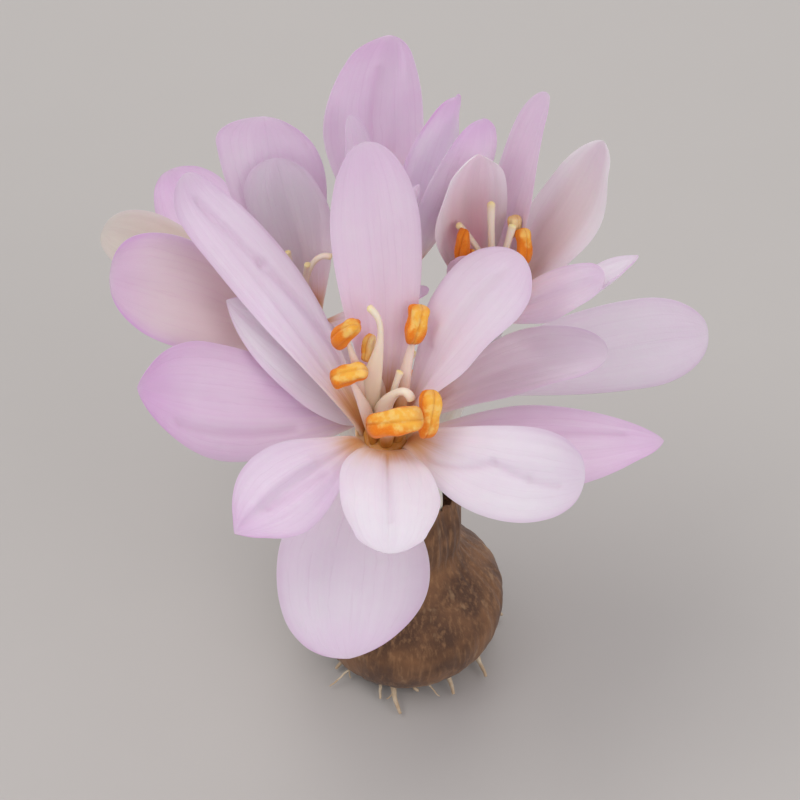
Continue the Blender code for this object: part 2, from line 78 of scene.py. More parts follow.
# Each petal, in degrees, metres and shares of its length: seat round the mouth, bearing of the blade,
# sway on the way to the tip, rise above level, bend up, roll and twist about the midrib, length,
# width, widest place, point (0.5 is round and more is sharper), lean of the tip to one side, skew of
# the widest place, cup of the cross-section, rise of the claw, and swell, which above 1 keeps it
# narrow for longer
Petal = namedtuple(
    "Petal",
    "seat bearing sway rise bend roll twist length width widest point lean skew cup start swell",
    defaults=(0.5, 0, 0, 18, 80, 1.2),
)

petals = {
    "front": [
        Petal(95, 88, 16, 75, -6, -10, 5, 0.044, 0.013, 0.68, 0.45, -0.001, 0),
        Petal(155, 136, 9, 42, -7, 5, 10, 0.0455, 0.0106, 0.68, 0.45, 0, -0.1, swell=1.25),
        Petal(215, 231, 11, 17, 2, 21, 4, 0.034, 0.013, 0.64, 0.95, -0.0005, -0.05, swell=1.55),
        Petal(275, 271, -1, 25, -9, 10, -6, 0.033, 0.0142, 0.52, 0.4, 0, -0.05, swell=0.7),
        Petal(335, 317, 12, 7, 25, -33, -6, 0.0325, 0.014, 0.64, 0.35, -0.001, 0, swell=1.1),
        Petal(35, 21, 5, 67, -20, 15, -31, 0.0335, 0.0142, 0.72, 0.5, 0.0015, 0.05),
    ],
    "low": [
        Petal(110, 211, -53, 44, -9, 38, -5, 0.0335, 0.0136, 0.48, 0.85, 0.001, 0.15, swell=1.5),
        Petal(170, 200, 6, 20, 19, 35, 8, 0.0425, 0.017, 0.7, 0.7, 0, 0.05),
        Petal(230, 259, 17, -7, 10, 23, -29, 0.0415, 0.0224, 0.66, 0.45, 0.002, -0.05, start=20, swell=1.5),
        Petal(295, 337, 22, 10, 4, -16, 4, 0.04, 0.0138, 0.54, 0.75, 0, 0.05, start=25),
        Petal(355, 8, -22, 41, -26, -5, -7, 0.034, 0.0114, 0.64, 0.45, 0.001, 0),
        Petal(55, 12, -10, 12, -7, -61, -5, 0.0475, 0.0138, 0.8, 0.45, -0.0005, 0, swell=1.5),
    ],
    "left": [
        Petal(100, 126, -10, 74, 13, 15, 15, 0.035, 0.0148, 0.8, 0.4, -0.001, -0.1, swell=1.25),
        Petal(158, 130, -13, 10, 0, 10, 5, 0.034, 0.0132, 0.64, 0.55, -0.0005, 0.1, start=50),
        Petal(210, 148, -5, 16, -30, 32, 4, 0.036, 0.0106, 0.68, 0.5, 0, 0.05),
        Petal(265, 190, 9, 34, -2, 32, 2, 0.034, 0.017, 0.66, 0.35, 0.0005, 0.05),
        Petal(340, 337, -7, 37, 5, 5, 1, 0.024, 0.0076, 0.64),
        Petal(45, 143, 3, 78, 1, 40, 19, 0.0295, 0.0118, 0.74, 0.45, -0.0005, -0.05),
    ],
    "back": [
        Petal(95, 112, 12, 65, 51, 8, 13, 0.0425, 0.015, 0.54, 0.5, 0.001, -0.05),
        Petal(160, 175, -2, 86, -5, 25, 2, 0.03, 0.007, 0.64),
        Petal(215, 252, 4, 74, 4, -20, -3, 0.029, 0.006, 0.64),
        Petal(275, 292, -3, 72, 0, -24, 1, 0.028, 0.008, 0.64),
        Petal(335, 348, -11, 58, 31, 12, 26, 0.0365, 0.0106, 0.54, 0.6, 0.0005, -0.05, cup=30),
        Petal(35, 336, 16, 74, 3, 25, 11, 0.0374, 0.0114, 0.6, 0.5, 0.0026, cup=40, swell=1.25),
    ],
    "right": [
        Petal(95, 39, -31, 80, -6, -7, 6, 0.037, 0.0106, 0.62, 0.5, 0.0005, -0.05, swell=1.25),
        Petal(155, 135, -1, 76, 52, 15, 6, 0.0335, 0.0128, 0.56, 0.55, -0.004, 0.05, cup=45, swell=1.4),
        Petal(215, 246, 4, 74, -1, -17, -2, 0.0165, 0.008, 0.64),
        Petal(275, 319, 4, 44, 4, -36, -10, 0.0275, 0.008, 0.6, 0.45, 0, 0.05),
        Petal(335, 333, -21, 35, 27, -6, -12, 0.032, 0.0084, 0.6, 0.8, 0.0005, 0),
        Petal(35, 348, 0, 62, 18, -35, -24, 0.0355, 0.0114, 0.52, 0.6, 0.0005, 0.05),
    ],
}

# tone: 0 is nearly white and 1 is full lilac. The next two: rose and cream laid over it, most near
# the claw; the rose is partly the petal's own colour and partly painted shade, the pink cast of its
# shaded inside. tip and rim: how purple they are, and a rim below 0 is a painted highlight along the
# margin. groove and wave: millimetres deep. hook: degrees that the tip curls inward. creases: from
# and to, each as shares of half the width and of the length, then depth and width in millimetres;
# those below 0 also get painted shade along them. extra: how much broader the right half is, seen
# from the petal's inside with its tip up, or the left half if below 0.
Look = namedtuple(
    "Look",
    "tone pink warm tip rim groove wave hook creases extra",
    defaults=(0, 0, 0.3, 0.3, 0.2, 0.25, 0, (), 0),
)

looks = {
    "front": [
        Look(0.44, 0.22, 0.03, 0.45, 0.3, 0.35, 0.3),
        Look(0.36, 0.03, 0, 0.5, 0.45, 0.3, 0.3, 35, (
            ((0.85, 0.22), (0.3, 0.62), -0.75, 0.7),
            ((0.3, 0.62), (0, 0.9), -0.65, 0.6),
        )),
        Look(0.5, 0, 0, 0.7, 0.5, 0.4, 0.3, 0, (
            ((0.28, 0.38), (0.2, 0.8), 0.6, 1.2),
            ((-0.3, 0.35), (-0.1, 0.75), -0.3, 0.8),
        )),
        Look(0.06, 0, 0, 0.15, 0.25, 0.6, 0.2, 0, (
            ((0, 0.12), (-0.05, 0.75), -0.2, 0.5),
        )),
        Look(0.14, 0, 0, 0.35, 0.45, 0.2, 0.4, 0, (
            ((0.53, 0.18), (-0.17, 0.49), -0.38, 0.65),
            ((-0.17, 0.49), (0.03, 0.69), -0.34, 0.6),
            ((0.03, 0.69), (0.15, 0.86), -0.28, 0.6),
        )),
        Look(0.26, 0.12, 0, 0.4, 0.35, 0.4, 0.35, 0, (((-0.45, 0.45), (-0.15, 0.9), 0.45, 1.1),)),
    ],
    "low": [
        Look(0, 0.02, 0, 0.35, 0.45, 0.3, 0.35),
        Look(0.72, 0.08, 0, 0.95, 0.6, 0.4, 0.4, 0, (((-0.55, 0.82), (-0.52, 0.37), -0.55, 0.8),)),
        Look(0.22, 0, 0, 0.5, 0.5, 0.22, 0.45),
        Look(0.68, 0.12, 0.04, 0.6, 0.5, 0.25, 0.5, 0, (((-0.35, 0.35), (-0.42, 0.85), -0.35, 0.7),)),
        Look(0.02, 0.22, 0.14, 0.3, 0.45, 0.25, 0.3),
        Look(0.22, 0.05, 0.08, 0.35, 0.5, 0.3, 0.55),
    ],
    "left": [
        Look(0.34, 0.12, 0, 0.6, 0.55, 0.3, 0.45),
        Look(0.78, 0.06, 0, 0.6, 0.5, 0.25, 0.3),
        Look(0.1, 0.05, 1.25, 0, 0.05, 0.25, 0.3),
        Look(0.56, 0.26, 0.7, 0.7, 0.9, 0.3, 0.4),
        Look(0.4, 0.1, 0),
        Look(0, 0.16, 0, 0.2, 0.2, 0.35, 0.25),
    ],
    "back": [
        Look(0.5, 0.03, 0, 0.55, 0.45, 0.35, 0.4, 0, (
            ((0.6, 0.95), (0.25, 0.47), 0.6, 1.3),
            ((0.05, 0.8), (-0.1, 0.4), -0.4, 1),
        )),
        Look(0.15, 0.2, 0),
        Look(0.15, 0.2, 0),
        Look(0.15, 0.2, 0),
        Look(0.08, 0, 0, 0.95, 0.35, 0.25, 0.35, extra=0.5),
        Look(0.02, 0, 0, 0.95, 0.85, 0.25, 0.35),
    ],
    "right": [
        Look(0.5, 0.16, 0.24, 0.4, 0.3, 0.3, 0.3),
        Look(0.02, 0.85, 0, 0.1, -0.9, 0.3, 0.3),
        Look(0.4, 0.2, 0),
        Look(0.22, 0.1, 0, 0.4, 0.4, 0.25, 0.25),
        Look(0, 0, 0, 0.5, 0.45, 0.25, 0.25),
        Look(0.12, 0.18, 0.75, 0.35, -0.7, 0.3, 0.4),
    ],
}

# Each anther: middle seen from the mouth, bearing and rise of the long axis, length, width as a
# share of it, and its own painted light: above 0 it is painted lighter and below 0 in painted shade
Anther = namedtuple("Anther", "middle bearing rise length slimness pale", defaults=(0.0056, 0.4, 0))

anthers = {
    "front": [
        Anther((-0.0022, 0.004, 0.0145), 80, 61, 0.004, 0.45, 0.8),
        Anther((-0.0055, 0.0031, 0.0183), 0, 50, 0.0052, 0.5),
        Anther((-0.005, -0.0005, 0.0138), 15, 12, 0.0051, 0.5),
        Anther((0.0014, -0.007, 0.011), 5, 12, 0.0076, 0.45),
        Anther((0.0062, -0.0045, 0.0099), 80, 62, 0.0068, 0.38),
        Anther((0.0044, 0.006, 0.0172), 70, 60, 0.0056, 0.48),
    ],
    "low": [
        Anther((0.001, 0.0052, 0.008), 80, 60),
        Anther((-0.0019, 0.0035, 0.0121), 110, 61),
        Anther((-0.0011, 0.0006, 0.0102), 200, 75),
        Anther((0.0026, 0.0003, 0.008), 20, 75),
        Anther((0.0049, 0.0006, 0.0075), 0, 65),
        Anther((0.0042, 0.004, 0.009), 50, 60),
    ],
    "left": [
        Anther((-0.0037, 0.001, 0.0072), 100, 65),
        Anther((-0.0065, 0.0011, 0.0105), 150, 60),
        Anther((-0.0094, -0.0054, 0.006), 109, 32),
        Anther((-0.0012, -0.0019, 0.0072), 240, 70),
        Anther((0.0012, -0.0026, 0.0053), 300, 50),
        Anther((0.0009, -0.0011, 0.0036), 60, 70),
    ],
    "back": [
        Anther((0, 0.0031, 0.0131), 90, 75, 0.0046),
        Anther((-0.0011, 0.0007, 0.0092), 120, 76, 0.0046),
        Anther((-0.0003, -0.0025, 0.014), 270, 80, 0.0046),
        Anther((0, -0.0016, 0.0089), 270, 80, 0.0046),
        Anther((0.0008, -0.0032, 0.0106), 330, 75, 0.0046),
        Anther((0.0023, 0.0041, 0.0133), 30, 75, 0.0046),
    ],
    "right": [
        Anther((0.0025, 0.0003, 0.0164), 90, 73, 0.0032, 0.55, 1.4),
        Anther((-0.0049, -0.0027, 0.0153), 79, 77, 0.0052, 0.36, -0.7),
        Anther((-0.0031, -0.0024, 0.0115), 250, 71),
        Anther((0.0023, -0.0031, 0.0108), 290, 70),
        Anther((0.002, -0.0043, 0.0087), 320, 60),
        Anther((0.0038, -0.0021, 0.0146), 109, 73, 0.0054, 0.36, -0.3),
    ],
}

# Each style: the point it is drawn towards, its tip, its sideways bow near the foot, how thick it
# is, and how broad it is in its own plane against that
Style = namedtuple("Style", "towards tip bow thick broad", defaults=((0, 0), 1, 0.8))

styles = {
    "front": [
        Style((0.003, 0.003, 0.019), (-0.0024, 0.0045, 0.0222), (-0.0058, 0.0002), 1.1, 2.7),
        Style((0.0025, -0.001, 0.015), (0.0038, -0.0024, 0.0105), (-0.003, 0), 1.3, 1.9),
        Style((0.0014, 0.0015, 0.01), (0.0022, 0.0022, 0.0118)),
    ],
    "low": [
        Style((0.0001, 0.0031, 0.0089), (-0.0006, 0.0051, 0.0125)),
        Style((0.0011, 0.0024, 0.0091), (0.0027, 0.003, 0.0125)),
        Style((0.0008, 0.002, 0.009), (0.0012, 0.0034, 0.013)),
    ],
    "left": [
        Style((0.0005, 0.0018, 0.0151), (0.0047, 0.0019, 0.013)),
        Style((-0.0011, 0.0006, 0.011), (-0.0018, 0.001, 0.015)),
        Style((0.0007, -0.0004, 0.011), (0.0012, -0.0006, 0.014)),
    ],
    "back": [
        Style((0.0012, -0.0002, 0.011), (0.0006, -0.0004, 0.015)),
        Style((0.0015, 0.0007, 0.0115), (0.0014, 0.0013, 0.0168)),
        Style((0.0017, 0.0015, 0.0113), (0.0011, 0.0002, 0.0151)),
    ],
    "right": [
        Style((-0.001, -0.003, 0.014), (-0.001, -0.0008, 0.0222)),
        Style((-0.001, -0.0016, 0.0121), (-0.0058, -0.0006, 0.0178)),
        Style((0.0009, -0.0031, 0.0133), (0.0022, -0.0012, 0.0182)),
    ],
}

# Shader sums


class Wire:  # a node's output; + - * and ** on it add Math nodes, and so do numbers on the left
    def __init__(self, paint, socket):
        self.paint = paint
        self.socket = socket

    def math(self, operation, *values):
        return self.paint.add("ShaderNodeMath", {"operation": operation}, dict(enumerate(values)))

    def __add__(self, other):
        return self.math("ADD", self, other)

    def __radd__(self, other):
        return self.math("ADD", other, self)

    def __sub__(self, other):
        return self.math("SUBTRACT", self, other)

    def __rsub__(self, other):
        return self.math("SUBTRACT", other, self)

    def __mul__(self, other):
        return self.math("MULTIPLY", self, other)

    def __rmul__(self, other):
        return self.math("MULTIPLY", other, self)

    def __pow__(self, other):
        return self.math("POWER", self, other)

    def __abs__(self):
        return self.math("ABSOLUTE", self)

    def fract(self):
        return self.math("FRACT", self)

    def clamped(self):
        return self.math("MINIMUM", self.math("MAXIMUM", self, 0), 1)

    def step(self, low, high):  # 0 below low and 1 above high, with a smooth change between
        settings = {"interpolation_type": "SMOOTHSTEP"}
        values = {"Value": self, "From Min": low, "From Max": high}
        return self.paint.add("ShaderNodeMapRange", settings, values)


class Paint:  # a material of tints, the first laid all over, and the one way to add a node to it
    def __init__(self, name, tints):
        self.tints = tints
        self.colour = (*next(iter(tints.values())), 1)
        self.material = bpy.data.materials.new(name)
        self.material.use_nodes = True
        self.tree = self.material.node_tree
        self.tree.nodes.clear()
        self.place = self.add("ShaderNodeTexCoord", output=3)  # Object coordinates, in metres

    def add(self, kind, settings=None, inputs=None, output=0):
        node = self.tree.nodes.new(kind)
        for key, value in (settings or {}).items():
            setattr(node, key, value)
        for key, value in (inputs or {}).items():
            if isinstance(value, Wire):
                self.tree.links.new(value.socket, node.inputs[key])
            else:
                node.inputs[key].default_value = value
        return Wire(self, node.outputs[output])

    def chart(self):  # the piece's own map: across or round it, and along it, each from 0 to 1
        uv = self.add("ShaderNodeUVMap", {"uv_map": "chart"})
        across = self.add("ShaderNodeSeparateXYZ", None, {0: uv})
        return across, Wire(self, across.socket.node.outputs[1])

    def mark(self, name):
        return self.add("ShaderNodeAttribute", {"attribute_name": name}, None, 2)

    def join(self, x, y, z):
        return self.add("ShaderNodeCombineXYZ", None, {0: x, 1: y, 2: z})

    def noise(self, scale, detail=2, roughness=0.5, where=None):
        inputs = {"Vector": where or self.place, "Scale": scale, "Detail": detail, "Roughness": roughness}
        return self.add("ShaderNodeTexNoise", None, inputs)

    def lay(self, factor, tint):  # mixes this much of a tint into the colour so far
        colours = {0: factor, 6: self.colour, 7: (*self.tints[tint], 1)}
        self.colour = self.add("ShaderNodeMix", {"data_type": "RGBA"}, colours, 2)

    def stretched(self, *factors):  # the place times three factors
        return self.add("ShaderNodeVectorMath", {"operation": "MULTIPLY"}, {0: self.place, 1: factors})

    # bump: height, distance and strength. glow: weight, radius and scale of light under the skin.
    def surface(self, roughness, bump=(), glow=(), others=()):
        inputs = {"Base Color": self.colour, "Roughness": roughness, **dict(others)}
        if bump:
            relief = dict(zip(("Height", "Distance", "Strength"), bump))
            inputs["Normal"] = self.add("ShaderNodeBump", None, relief)
        inputs.update(zip(("Subsurface Weight", "Subsurface Radius", "Subsurface Scale"), glow))
        shader = self.add("ShaderNodeBsdfPrincipled", None, inputs)
        out = self.tree.nodes.new("ShaderNodeOutputMaterial")
        self.tree.links.new(shader.socket, out.inputs[0])
        return self.material


# Shapes


# A vector field divided by its length
def unit(vectors):
    return vectors / np.linalg.norm(vectors, axis=-1, keepdims=True)


# The point at a radius and height from the Z axis, turn radians from +X
def around(turn, radius, height):
    return np.stack(np.broadcast_arrays(radius * np.cos(turn), radius * np.sin(turn), height), axis=-1)


# The unit vector with this bearing and rise, in radians
def direction(bearing, rise):
    level = np.cos(rise)
    return np.stack([level * np.cos(bearing), level * np.sin(bearing), np.sin(rise)], axis=-1)


# Even steps from 0 to 1
def evenly(count):
    return np.linspace(0, 1, count)


# The value, held between 0 and 1
def held(value):
    return np.clip(value, 0, 1)


# Even steps of a full turn, in radians, without the last, which is the first again
def fullTurn(columns):
    return np.linspace(0, 2 * math.pi, columns, endpoint=False)


# The map of a closed skin: 0 to 1 round it, with one column more than the skin has, and along it
def evenChart(columns, along):
    return np.stack(np.meshgrid(evenly(columns + 1), along), axis=-1)


# Cubic curve: the four points weighted by (1-t)^3, 3t(1-t)^2, 3t^2(1-t) and t^3
def cubic(points, t):
    a, b, c, d = (np.array(point, dtype=float) for point in points)
    t = np.asarray(t)[:, None]
    return a * (1 - t) ** 3 + 3 * b * t * (1 - t) ** 2 + 3 * c * t**2 * (1 - t) + d * t**3


# 0 below low, 1 above high, and 3x^2 - 2x^3 between
def smooth(value, low, high):
    x = held((value - low) / (high - low))
    return x * x * (3 - 2 * x)


# The mean of a few sine waves over two parameters, with drawn pitches and starts
def ripple(a, b, seed, pitch, waves=6):
    draw = np.random.default_rng(seed)
    pitchA, pitchB = draw.uniform(-pitch, pitch, (2, waves))
    start = draw.uniform(0, 2 * math.pi, waves)
    phase = 2 * math.pi * (a[..., None] * pitchA + b[..., None] * pitchB) + start
    return np.sin(phase).mean(axis=-1)


# A closed skin: rows of points that each go once round, joined row to row, with both ends capped.
# chart has one more column than points, so that it doesn't jump back where the rows close.
def makeSkin(points, chart=None, marks=None):
    rows, columns = points.shape[:2]
    if chart is None:
        chart = evenChart(columns, evenly(rows))
    row, column = np.meshgrid(np.arange(rows - 1), np.arange(columns), indexing="ij")
    corners = ((0, 0), (0, 1), (1, 1), (1, 0))
    quads = [(row + down) * columns + (column + over) % columns for down, over in corners]
    spots = [chart[row + down, column + over] for down, over in corners]
    first = np.arange(columns)
    last = first + (rows - 1) * columns
    faces = np.stack(quads, axis=-1).reshape(-1, 4).tolist() + [first[::-1].tolist(), last.tolist()]
    spots = np.stack(spots, axis=2).reshape(-1, 2)
    spots = np.concatenate([spots, chart[0, :columns][::-1], chart[-1, :columns]])
    flat = {}
    for name, values in (marks or {}).items():
        flat[name] = np.broadcast_to(values, (rows, columns)).ravel()
    return points.reshape(-1, 3), faces, spots, flat


def addObject(name, data, location=(0, 0, 0), rotation=(0, 0, 0)):
    thing = bpy.data.objects.new(name, data)
    thing.location = location
    thing.rotation_euler = rotation
    scene.collection.objects.link(thing)
    return thing


# One mesh object from several skins, welded where their points meet, with its faces outward
def addPiece(name, skins, material, replaces=()):
    points = np.concatenate([skin[0] for skin in skins])
    spots = np.concatenate([skin[2] for skin in skins])
    faces = []
    shift = 0
    for skin in skins:
        faces += [[corner + shift for corner in face] for face in skin[1]]
        shift += len(skin[0])
    mesh = bpy.data.meshes.new(name)
    mesh.from_pydata(points.tolist(), [], faces)
    mesh.uv_layers.new(name="chart").data.foreach_set("uv", spots.astype(np.float32).ravel())
    for mark in skins[0][3]:
        values = np.concatenate([skin[3][mark] for skin in skins]).astype(np.float32)
        mesh.attributes.new(mark, "FLOAT", "POINT").data.foreach_set("value", values)
    bm = bmesh.new()
    bm.from_mesh(mesh)
    bmesh.ops.remove_doubles(bm, verts=bm.verts, dist=1e-6)
    bmesh.ops.recalc_face_normals(bm, faces=bm.faces)
    bm.to_mesh(mesh)
    bm.free()
    mesh.shade_smooth()
    mesh.materials.append(material)
    piece = addObject(name, mesh)
    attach(piece, "root")
    if replaces:
        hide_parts(*replaces)


# A tube along a path: each ring is the path's point plus radius times (cosine times one normal
# plus broad times sine times the other). The normals come from the plane that the path lies in.
def sweep(path, radii, columns, broad=1):
    ahead = unit(np.gradient(path, axis=0))
    plane = np.linalg.svd(path - path.mean(axis=0), full_matrices=False)[2][-1]
    one = unit(plane - (ahead @ plane)[:, None] * ahead)
    other = np.cross(ahead, one) * np.broadcast_to(broad, len(path))[:, None]
    turn = fullTurn(columns)[None, :, None]
    rings = np.cos(turn) * one[:, None] + np.sin(turn) * other[:, None]
    return makeSkin(path[:, None] + np.asarray(radii)[:, None, None] * rings)


# Petals

petalMake = {
    "columns": 47,
    "rows": 91,
    "midribRows": 401,
    "clawThick": 0.7 * mm,
    "bladeThick": 0.36 * mm,
    "tipThick": 0.22 * mm,
    "grooveWidth": 0.11,  # this and the shoulders are shares of half the width
    "shoulderAt": 0.36,
    "shoulderWidth": 0.24,
    "ribs": 3.5,
    "ribDepth": 0.035 * mm,
    "crumple": 0.28 * mm,
    "unevenEdge": 0.02,
    "hookFrom": 0.82,  # shares of the length
    "closeFrom": 0.85,
}

petalTints = {
    "white": (0.92, 0.81, 0.94),
    "lilac": (0.73, 0.43, 0.71),
    # the rose tint is partly the petals' own colour and partly painted shade: the pink cast of their shaded
    # insides
    "roseAndShade": (0.86, 0.43, 0.43),
    "cream": (0.58, 0.48, 0.38),
    "purple": (0.6, 0.27, 0.6),
    # painted highlight along margins that catch the light
    "rimHighlight": (0.93, 0.82, 0.88),
    "vein": (0.56, 0.3, 0.52),
    # painted shade laid along the grooved creases
    "fold": (0.5, 0.29, 0.42),
    # foot and amber: partly the claw's own colour and partly painted shade of the deep heart
    "foot": (0.8, 0.6, 0.42),
    "heartAmberAndShade": (0.58, 0.29, 0.06),
}


# Bearing and rise of the midrib: the blade's own, plus sway and bend that grow towards the tip,
# plus a turn to the claw's seat and rise that dies away with the square of the distance
def petalAngles(petal, look, s):
    fall = (1 - held(s / clump["clawShare"])) ** 2
    turn = (petal.seat - petal.bearing + 180) % 360 - 180
    bearing = petal.bearing + petal.sway * s + turn * fall
    rise = petal.rise + petal.bend * s**1.5 + (petal.start - petal.rise) * fall
    rise = rise + look.hook * smooth(s, petalMake["hookFrom"], 1)
    return np.radians(bearing), np.radians(rise)


# Half the width: from the claw, a sine to the power swell up to the widest place, then
# (1 - x^2) to the power point, where x runs from 0 there to 1 at the tip
def petalHalfWidth(petal, spread, u, s):
    full = petal.width / 2
    claw = clump["clawHalfWidth"] * spread
    widest = petal.widest + petal.skew * u
    swelling = np.sin(0.5 * math.pi * held(s / widest)) ** petal.swell
    after = held((s - widest) / (1 - widest))
    return np.where(s < widest, claw + (full - claw) * swelling, full * (1 - after**2) ** petal.point)


# The midrib: the direction that those angles give, summed in fine steps from the claw's foot
def petalMidrib(petal, look, spread, s):
    fine = evenly(petalMake["midribRows"])
    way = direction(*petalAngles(petal, look, fine))
    steps = (way[1:] + way[:-1]) / 2 * np.diff(fine)[:, None] * petal.length
    spine = np.concatenate([np.zeros((1, 3)), np.cumsum(steps, axis=0)])
    foot = around(math.radians(petal.seat), clump["clawRing"] * spread, clump["gap"])
    return foot + np.stack([np.interp(s, fine, spine[:, axis]) for axis in range(3)], axis=-1)


# A crease's share of its full depth: exp(-(d/width)^2), where d is the distance from the straight
# line between its two ends
def petalCrease(petal, u, s, start, end, width):
    size = np.array([petal.width / 2, petal.length])
    way = (np.array(end) - start) * size
    spot = (np.stack([u, s], axis=-1) - start) * size
    share = held(spot @ way / (way @ way))
    gap = np.linalg.norm(spot - share[..., None] * way, axis=-1)
    return np.exp(-((gap / (width * mm)) ** 2))


# How far the blade stands off its smooth arc: a groove exp(-(u/width)^2) on the midrib between two
# shoulders half as high, cosine ribs, margins waved by |u|^2.5, a soft crumple and the creases. All
# but the crumple close to nothing at the tip.
def petalRelief(petal, look, u, s, seed):
    closing = smooth(1 - s, 0, 1 - petalMake["closeFrom"])
    body = smooth(s, 0.05, 0.25) * closing
    groove = np.exp(-((u / petalMake["grooveWidth"]) ** 2)) * (1 - 0.5 * s)
    shoulder = np.exp(-(((np.abs(u) - petalMake["shoulderAt"]) / petalMake["shoulderWidth"]) ** 2))
    ribs = np.cos(2 * math.pi * petalMake["ribs"] * u + 2 * ripple(s, u, seed + 3, 1.5))
    relief = (look.groove * mm * (0.5 * shoulder - groove) + petalMake["ribDepth"] * ribs) * body
    wave = 2 * np.abs(u) ** 2.5 * ripple(s, np.sign(u), seed, 2.2, 3) * smooth(s, 0.25, 0.55)
    relief = relief + look.wave * mm * wave * closing
    crumple = ripple(u * closing, s, seed + 1, 1.1) * smooth(s, 0.12, 0.4)
    relief = relief + petalMake["crumple"] * crumple
    for start, end, depth, width in look.creases:
        relief = relief + depth * mm * petalCrease(petal, u, s, start, end, width) * closing
    return relief


# Points of the blade: the midrib, leant sideways by the square of s, plus an arc as long as the
# petal is wide, turned by roll and twist, plus the relief and a lift along the arc's own normal. The
# margins are a little uneven, and extra times u broadens one half.
def petalPoints(petal, look, spread, u, s, lift, seed):
    bearing, rise = petalAngles(petal, look, s)
    level = np.stack([np.sin(bearing), -np.cos(bearing), np.zeros_like(s)], axis=-1)
    inner = np.cross(level, direction(bearing, rise))
    turned = np.radians(petal.roll + petal.twist * s) * held(s / clump["clawShare"])
    cosine, sine = np.cos(turned)[..., None], np.sin(turned)[..., None]
    across = level * cosine + inner * sine
    normal = inner * cosine - level * sine
    arc = math.radians(petal.cup)
    uneven = petalMake["unevenEdge"] * ripple(s, np.sign(u), seed + 2, 2.5, 4) * smooth(s, 0.2, 0.4)
    edge = 1 + uneven + np.maximum(look.extra * u, 0) * smooth(s, 0.1, 0.4)
    radius = (petalHalfWidth(petal, spread, u, s) * edge / arc)[..., None]
    swing = (arc * u)[..., None]
    middle = petalMidrib(petal, look, spread, s) + across * (petal.lean * s**2)[..., None]
    place = middle + radius * (across * np.sin(swing) + normal * (1 - np.cos(swing)))
    facing = normal * np.cos(swing) - across * np.sin(swing)
    return place + facing * (petalRelief(petal, look, u, s, seed) + lift)[..., None]


# A closed petal: the upper face from one margin to the other, then the lower face back. It is
# thick at the claw and thins to the tip. (1 - u^6)^0.5 rounds the margins, (1 - s^24)^0.5 the tip.
def petalSkin(petal, look, spread, seed):
    half = np.sin(0.5 * math.pi * np.linspace(-1, 1, petalMake["columns"]))
    s = 0.5 - 0.5 * np.cos(math.pi * evenly(petalMake["rows"]))
    across = np.concatenate([half, half[-2:0:-1]])
    face = np.concatenate([np.ones(len(half)), -np.ones(len(half) - 2)])
    u, along = np.meshgrid(across, s)
    claw, blade, tip = (petalMake[name] for name in ("clawThick", "bladeThick", "tipThick"))
    thick = blade + (claw - blade) * (1 - smooth(along, 0, 0.3))
    thick = thick + (tip - blade) * smooth(along, 0.4, 1)
    lift = 0.5 * face * thick * np.sqrt(1 - np.abs(u) ** 6) * np.sqrt(1 - along**24)
    points = petalPoints(petal, look, spread, u, along, lift, seed)
    chart = np.stack(np.meshgrid((np.append(across, across[0]) + 1) / 2, s), axis=-1)
    marks = {name: getattr(look, name) for name in ("tone", "pink", "warm", "tip", "rim")}
    marks["start"] = 0.37 * seed
    # painted shade along the creases that are grooves, those with depth below 0
    marks["fold"] = np.zeros_like(u)
    for start, end, depth, width in look.creases:
        if depth < 0:
            marks["fold"] = marks["fold"] + petalCrease(petal, u, along, start, end, 0.9 * width)
    return makeSkin(points, chart, marks)


